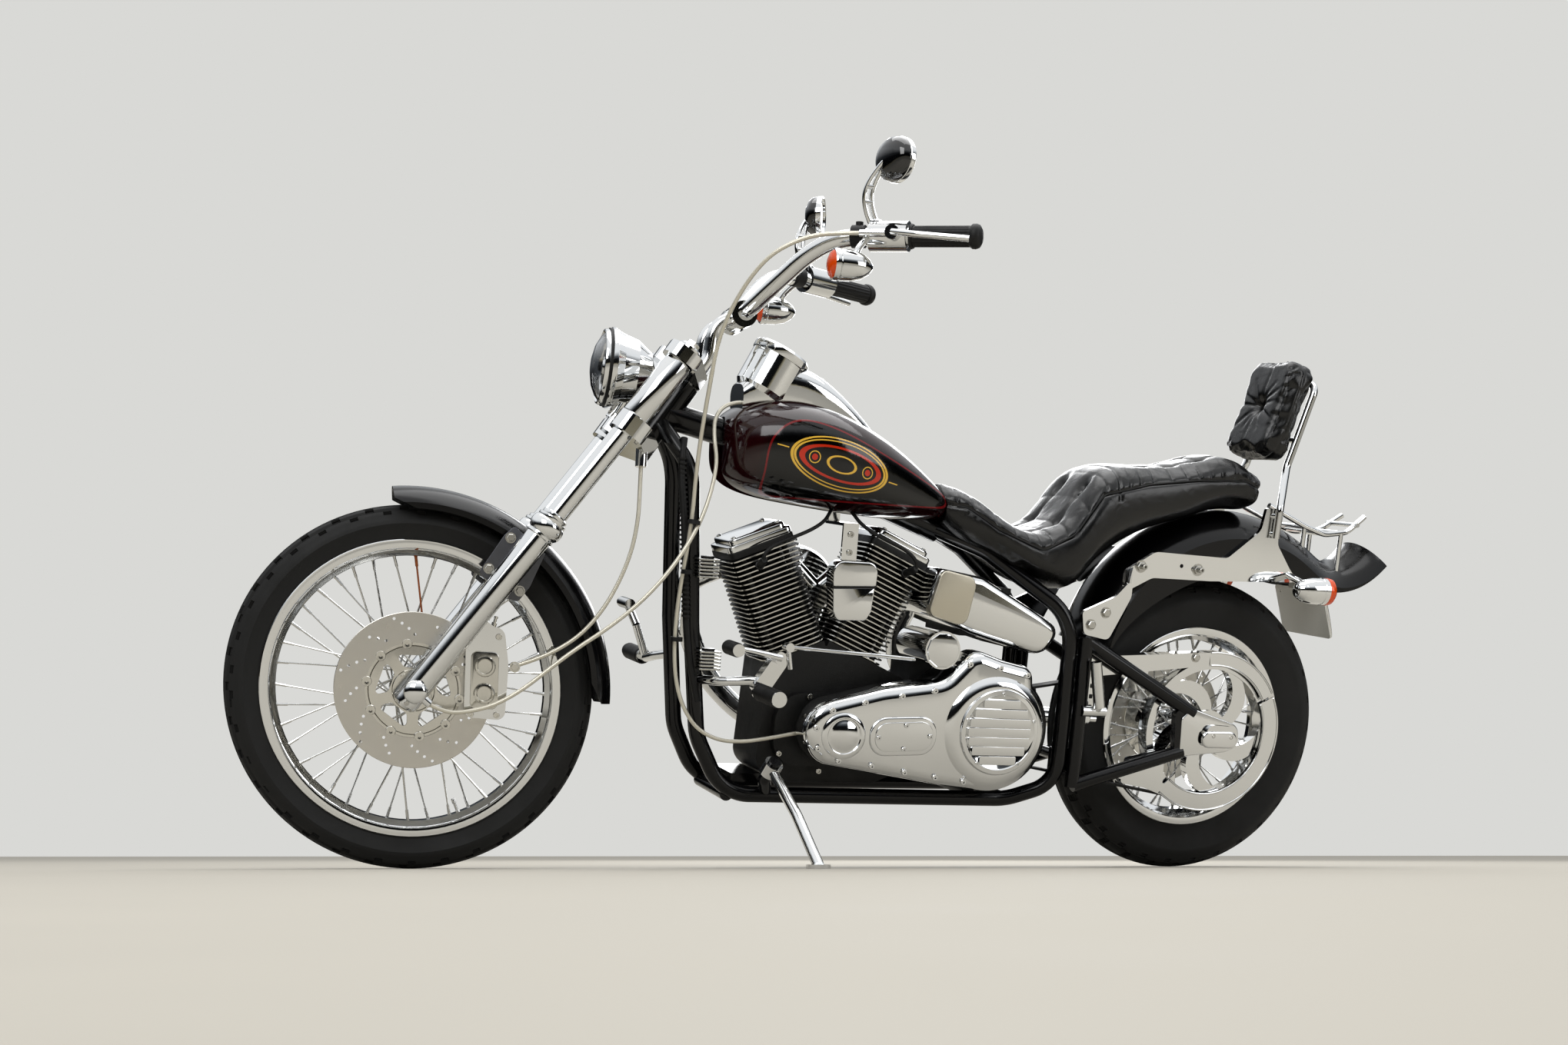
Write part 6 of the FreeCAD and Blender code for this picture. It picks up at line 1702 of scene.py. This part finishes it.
@dataclass
class Cushion:
    """Stuffed leather over a CAD solid: swollen by cloth simulation, then buttoned, creased and seamed."""

    node: str
    voxel_mm: float = 6.0
    shrink_mm: float = 4.0
    cap_mm: float = 6.0
    pressure: float = 4.0
    fill: float = 0.8

    def build(self) -> bpy.types.Object:
        """Makes the finished cushion.

        Returns:
            The cushion.
        """
        made = self.remeshed()
        self.swell(made)
        bm = bmesh.new()
        bm.from_mesh(made.data)
        back = PLACE[Half.REAR].inverted()
        bmesh.ops.transform(bm, matrix=back, verts=bm.verts)
        bmesh.ops.smooth_vert(bm, verts=bm.verts, factor=0.5, use_axis_x=True, use_axis_y=True,
                              use_axis_z=True)
        bmesh.ops.subdivide_edges(bm, edges=bm.edges, cuts=1, use_grid_fill=True, smooth=0.6)
        bm.normal_update()
        moves = [(v, self.relief(v.co, v.normal)) for v in bm.verts]
        for vert, move in moves:
            vert.co += move
        bpy.data.objects.remove(made)
        piece = finish_mesh(f"{self.node}_cover", bm, "root", [HIDE], 60, [self.node])
        return piece

    def remeshed(self) -> bpy.types.Object:
        """An even-celled closed copy of the CAD solid, a little smaller.

        Returns:
            The copy.
        """
        bm = bmesh.new()
        bm.from_mesh(frame["nodes"][self.node].data)
        bmesh.ops.remove_doubles(bm, verts=bm.verts, dist=2e-5)
        holder = linked("stuffing", mesh_of("stuffing", bm))
        voxels = holder.modifiers.new("voxels", "REMESH")
        voxels.mode = "VOXEL"
        voxels.voxel_size = self.voxel_mm * MM
        thin = holder.modifiers.new("thin", "DISPLACE")
        thin.strength = -self.shrink_mm * MM
        thin.mid_level = 0.0
        even = evaluated(holder)
        holder.modifiers.clear()
        old = holder.data
        holder.data = even
        bpy.data.meshes.remove(old)
        return holder

    def swell(self, holder: bpy.types.Object) -> None:
        """Blows the cushion up as cloth under pressure and keeps each point's move within the cap.

        Args:
            holder: the closed copy.
        """
        start = np.empty(len(holder.data.vertices) * 3)
        holder.data.vertices.foreach_get("co", start)
        cloth = holder.modifiers.new("cloth", "CLOTH")
        cloth.settings.use_pressure = True
        cloth.settings.uniform_pressure_force = self.pressure
        cloth.settings.effector_weights.gravity = 0.0
        cloth.settings.quality = 4
        scene = bpy.context.scene
        for number in range(1, 21):
            scene.frame_set(number)
        blown = evaluated(holder)
        end = np.empty_like(start)
        blown.vertices.foreach_get("co", end)
        holder.modifiers.clear()
        move = (end - start).reshape(-1, 3)
        size = np.linalg.norm(move, axis=1, keepdims=True)
        move *= np.minimum(1.0, self.cap_mm * MM / np.maximum(size, 1e-9))
        holder.data.vertices.foreach_set("co", (start.reshape(-1, 3) + move).ravel())
        bpy.data.meshes.remove(blown)
        scene.frame_set(1)

    def relief(self, at: Vector, normal: Vector) -> Vector:
        """How far a surface point moves for buttons, creases and seams."""
        return Vector()


def pit(distance: float, width: float, depth: float) -> float:
    """A smooth dent's depth at a distance from its middle."""
    return -depth * math.exp(-(distance / width) ** 2)


def crease(at: tuple[float, float], a: tuple[float, float], b: tuple[float, float]) -> float:
    """Distance of a point from a crease between two spots of a flat pattern.

    Args:
        at: the point.
        a: one spot.
        b: the other spot.

    Returns:
        The distance in millimetres.
    """
    ax, ay = a
    dx, dy = b[0] - ax, b[1] - ay
    t = max(0.0, min(1.0, ((at[0] - ax) * dx + (at[1] - ay) * dy) / (dx * dx + dy * dy)))
    return math.hypot(at[0] - ax - t * dx, at[1] - ay - t * dy)


@dataclass
class Saddle(Cushion):
    """Two-step saddle: tufted tops over smooth skirts, parted by a welted seam."""

    crown: tuple = ((190, 794), (240, 792), (300, 752), (400, 716), (470, 752), (530, 836), (640, 864),
                    (760, 880), (880, 886), (926, 870))
    drop: float = 34.0
    parting: float = 566.0
    tufts: tuple = ((300, -44), (300, 44), (385, -52), (385, 52), (455, -54), (455, 54), (515, -48),
                    (515, 48), (640, -40), (640, 40), (712, -42), (712, 42), (784, -42), (784, 42),
                    (850, -38), (850, 38))

    def top_at(self, x: float) -> float:
        """Height of the saddle's middle line at a place along it."""
        return float(np.interp(x, [p[0] for p in self.crown], [p[1] for p in self.crown]))

    def relief(self, at: Vector, normal: Vector) -> Vector:
        """Tufts on the tops, gathers along the seam, a groove at the seam and between the two parts.

        Args:
            at: the point in design millimetres.
            normal: the surface's direction there.

        Returns:
            The move.
        """
        seam = self.top_at(at.x) - self.drop
        above = at.z - seam
        move = 0.0
        if above > 0 and normal.z > -0.2:
            weight = min(1.0, above / 16)
            spot = (at.x, at.y)
            near = sorted((math.hypot(at.x - x, at.y - y), (x, y)) for x, y in self.tufts)[:3]
            move += weight * pit(near[0][0], 15, 11)
            for _, other in near[1:]:
                if math.dist(near[0][1], other) < 95:
                    move += weight * pit(crease(spot, near[0][1], other), 5.5, 4.0)
            roll = max(0.0, 1 - above / 46) * min(1.0, above / 9)
            pleat = abs(math.sin(at.x / 10.5 + 0.9 * math.sin(at.x / 31)))
            move += roll * (1.2 - 4.6 * (1 - pleat) ** 3)
            move += 2.0 * weight
        move += pit(above, 3.2, 3.2) if abs(normal.z) < 0.85 else 0.0
        if above > -20:
            past = at.x - self.parting
            move += pit(past - 1.0 if past > 0 else past, 4.0, 2.4)
        return normal * move

    def build(self) -> bpy.types.Object:
        """Makes the saddle and its welts.

        Returns:
            The saddle.
        """
        piece = super().build()
        self.add_welts(piece)
        return piece

    def add_welts(self, piece: bpy.types.Object) -> None:
        """A piped seam round the side, laid on the cushion's own surface.

        Args:
            piece: the finished cushion.
        """
        bm = bmesh.new()
        place = PLACE[Half.REAR]
        inward = place.inverted()
        for side in SIDES:
            path = []
            for x in np.linspace(222, 905, 60):
                z = self.top_at(x) - self.drop
                aim = (place.to_3x3() @ Vector((0, -side, 0))).normalized()
                hit, spot, _, _ = piece.ray_cast(place @ Vector((x, side * 260, z)), aim)
                if hit:
                    path.append((inward @ spot) + Y * side * 0.4)
            if len(path) > 8:
                tube(bm, path, 2.0, sides=2, smooth=3)
        finish_mesh("saddle_welt", bm, "root", [GRIP], 60)


@dataclass
class Backrest(Cushion):
    """The passenger's rest: one deep button whose pleats run out towards its seam."""

    low: Vector = field(default_factory=lambda: Vector((918, 0, 908)))
    lean_deg: float = 16.0
    half: float = 88.0
    thick: float = 62.0
    button: tuple = (112, 0)
    pleats: int = 12

    def directions(self) -> tuple[Vector, Vector]:
        """The pad's own up and back directions."""
        lean = math.radians(self.lean_deg)
        return Vector((math.sin(lean), 0, math.cos(lean))), Vector((math.cos(lean), 0, -math.sin(lean)))

    def relief(self, at: Vector, normal: Vector) -> Vector:
        """The button and its pleats on the front, a seam round the middle of the edge.

        Args:
            at: the point in design millimetres.
            normal: the surface's direction there.

        Returns:
            The move.
        """
        up_way, back_way = self.directions()
        rel = at - self.low
        up, depth = rel.dot(up_way), rel.dot(back_way)
        front = max(0.0, -normal.dot(back_way))
        here = (up, at.y)
        move = 0.0
        if front > 0.3:
            reach = math.dist(here, self.button)
            move += front * pit(reach, 17, 15)
            for n in range(self.pleats):
                turn = math.tau * (n + 0.3 * math.sin(5.0 * n)) / self.pleats
                length = 72 + 14 * math.sin(3.0 * n)
                end = (self.button[0] + length * math.sin(turn), self.button[1] + length * math.cos(turn))
                fade = max(0.0, 1 - reach / (length + 20))
                move += front * pit(crease(here, self.button, end), 4.2, 3.6) * fade
            side = abs(abs(at.y) - self.half + 16)
            move += front * pit(side, 2.4, 2.2)
        move += pit(abs(depth - self.thick / 2), 2.6, 2.6) * (1 - front)
        return normal * move


def buttons() -> None:
    """Covered buttons on the saddle's and the rest's tufts."""
    bm = bmesh.new()
    place = PLACE[Half.REAR]
    covers = {name: bpy.data.objects[name] for name in ("seat_cover", "backrest_pad_cover")}
    spots = [("seat_cover", Vector((x, y, 1000)), -Z) for x, y in Saddle("seat").tufts]
    rest = Backrest("backrest_pad")
    up, back = rest.directions()
    middle = rest.low + up * rest.button[0] + Y * rest.button[1]
    spots.append(("backrest_pad_cover", middle - back * 120, back))
    for name, start, aim in spots:
        turned = (place.to_3x3() @ aim).normalized()
        hit, spot, normal, _ = covers[name].ray_cast(place @ start, turned)
        if hit:
            out = (place.inverted().to_3x3() @ normal).normalized()
            at = place.inverted() @ spot
            lathe(bm, [(0, 4.2), (4, 3.8), (7, 2.2), (8, 0.4), (7, -1.2), (0, -1.4)], at, out, 16)
    finish_mesh("upholstery_buttons", bm, "root", [HIDE], 60)


def dress() -> CadDress:
    """Finishes for the CAD nodes that stay.

    Returns:
        The dress of all of them.
    """
    enamel = ("frame", "rear_arm", "stand_bracket", "rear_fender", "front_fender")
    bright = ("rear_axle", "rocker_boxes", "primary_cover", "clutch_cover", "starter", "oil_tank",
              "horn_cover", "air_cleaner", "exhaust", "dash", "fender_struts", "sissy_bar", "rack",
              "rear_lamps", "belt_guards", "foot_controls", "passenger_pegs", "finned_blocks", "rear_caliper",
              "fork_legs", "triple_clamps", "headlamp", "handlebar", "hand_controls", "mirrors",
              "front_signals", "front_axle", "front_caliper", "side_stand", "pulley")
    given = {node: ENAMEL for node in enamel} | {node: CHROME for node in bright}
    given |= {"crankcase": CRINKLE, "gearbox": CRINKLE, "front_cylinder": CRINKLE, "rear_cylinder": CRINKLE,
              "battery": GRIP, "drive_belt": GRIP, "grips": GRIP, "licence_plate": PLATE,
              "fuel_tank": TANK_DESIGN}
    return CadDress(given)


def main() -> None:
    """Builds the scene."""
    logging.basicConfig(level=logging.INFO)
    Studio().build()
    Cables().build()
    dress().build()
    Tyre("front_tyre", "front_wheel", FRONT_AXLE, FRONT_AXLE.z, 45, *FRONT_RIM).build()
    Tyre("rear_tyre", "rear_wheel", REAR_AXLE, REAR_AXLE.z, 65, *REAR_RIM, steps=120).build()
    SpokedWheel("front_rim", "front_wheel", FRONT_AXLE, *FRONT_RIM, flange=36, end_half=58, rusty=10).build()
    SpokedWheel("rear_rim", "rear_wheel", REAR_AXLE, *REAR_RIM, flange=44, end_half=76).build()
    Disc("front_disc", "front_wheel", FRONT_AXLE, inner_y=-58, sign=-1).build()
    Disc("rear_disc", "rear_wheel", REAR_AXLE, inner_y=76, sign=1).build()
    for part in (Engine(), Fork(), Bars(), Tail(), Dress()):
        part.build()
    Saddle("seat").build()
    Backrest("backrest_pad", cap_mm=8.0, shrink_mm=5.0).build()
    buttons()


if __name__ == "__main__":
    main()
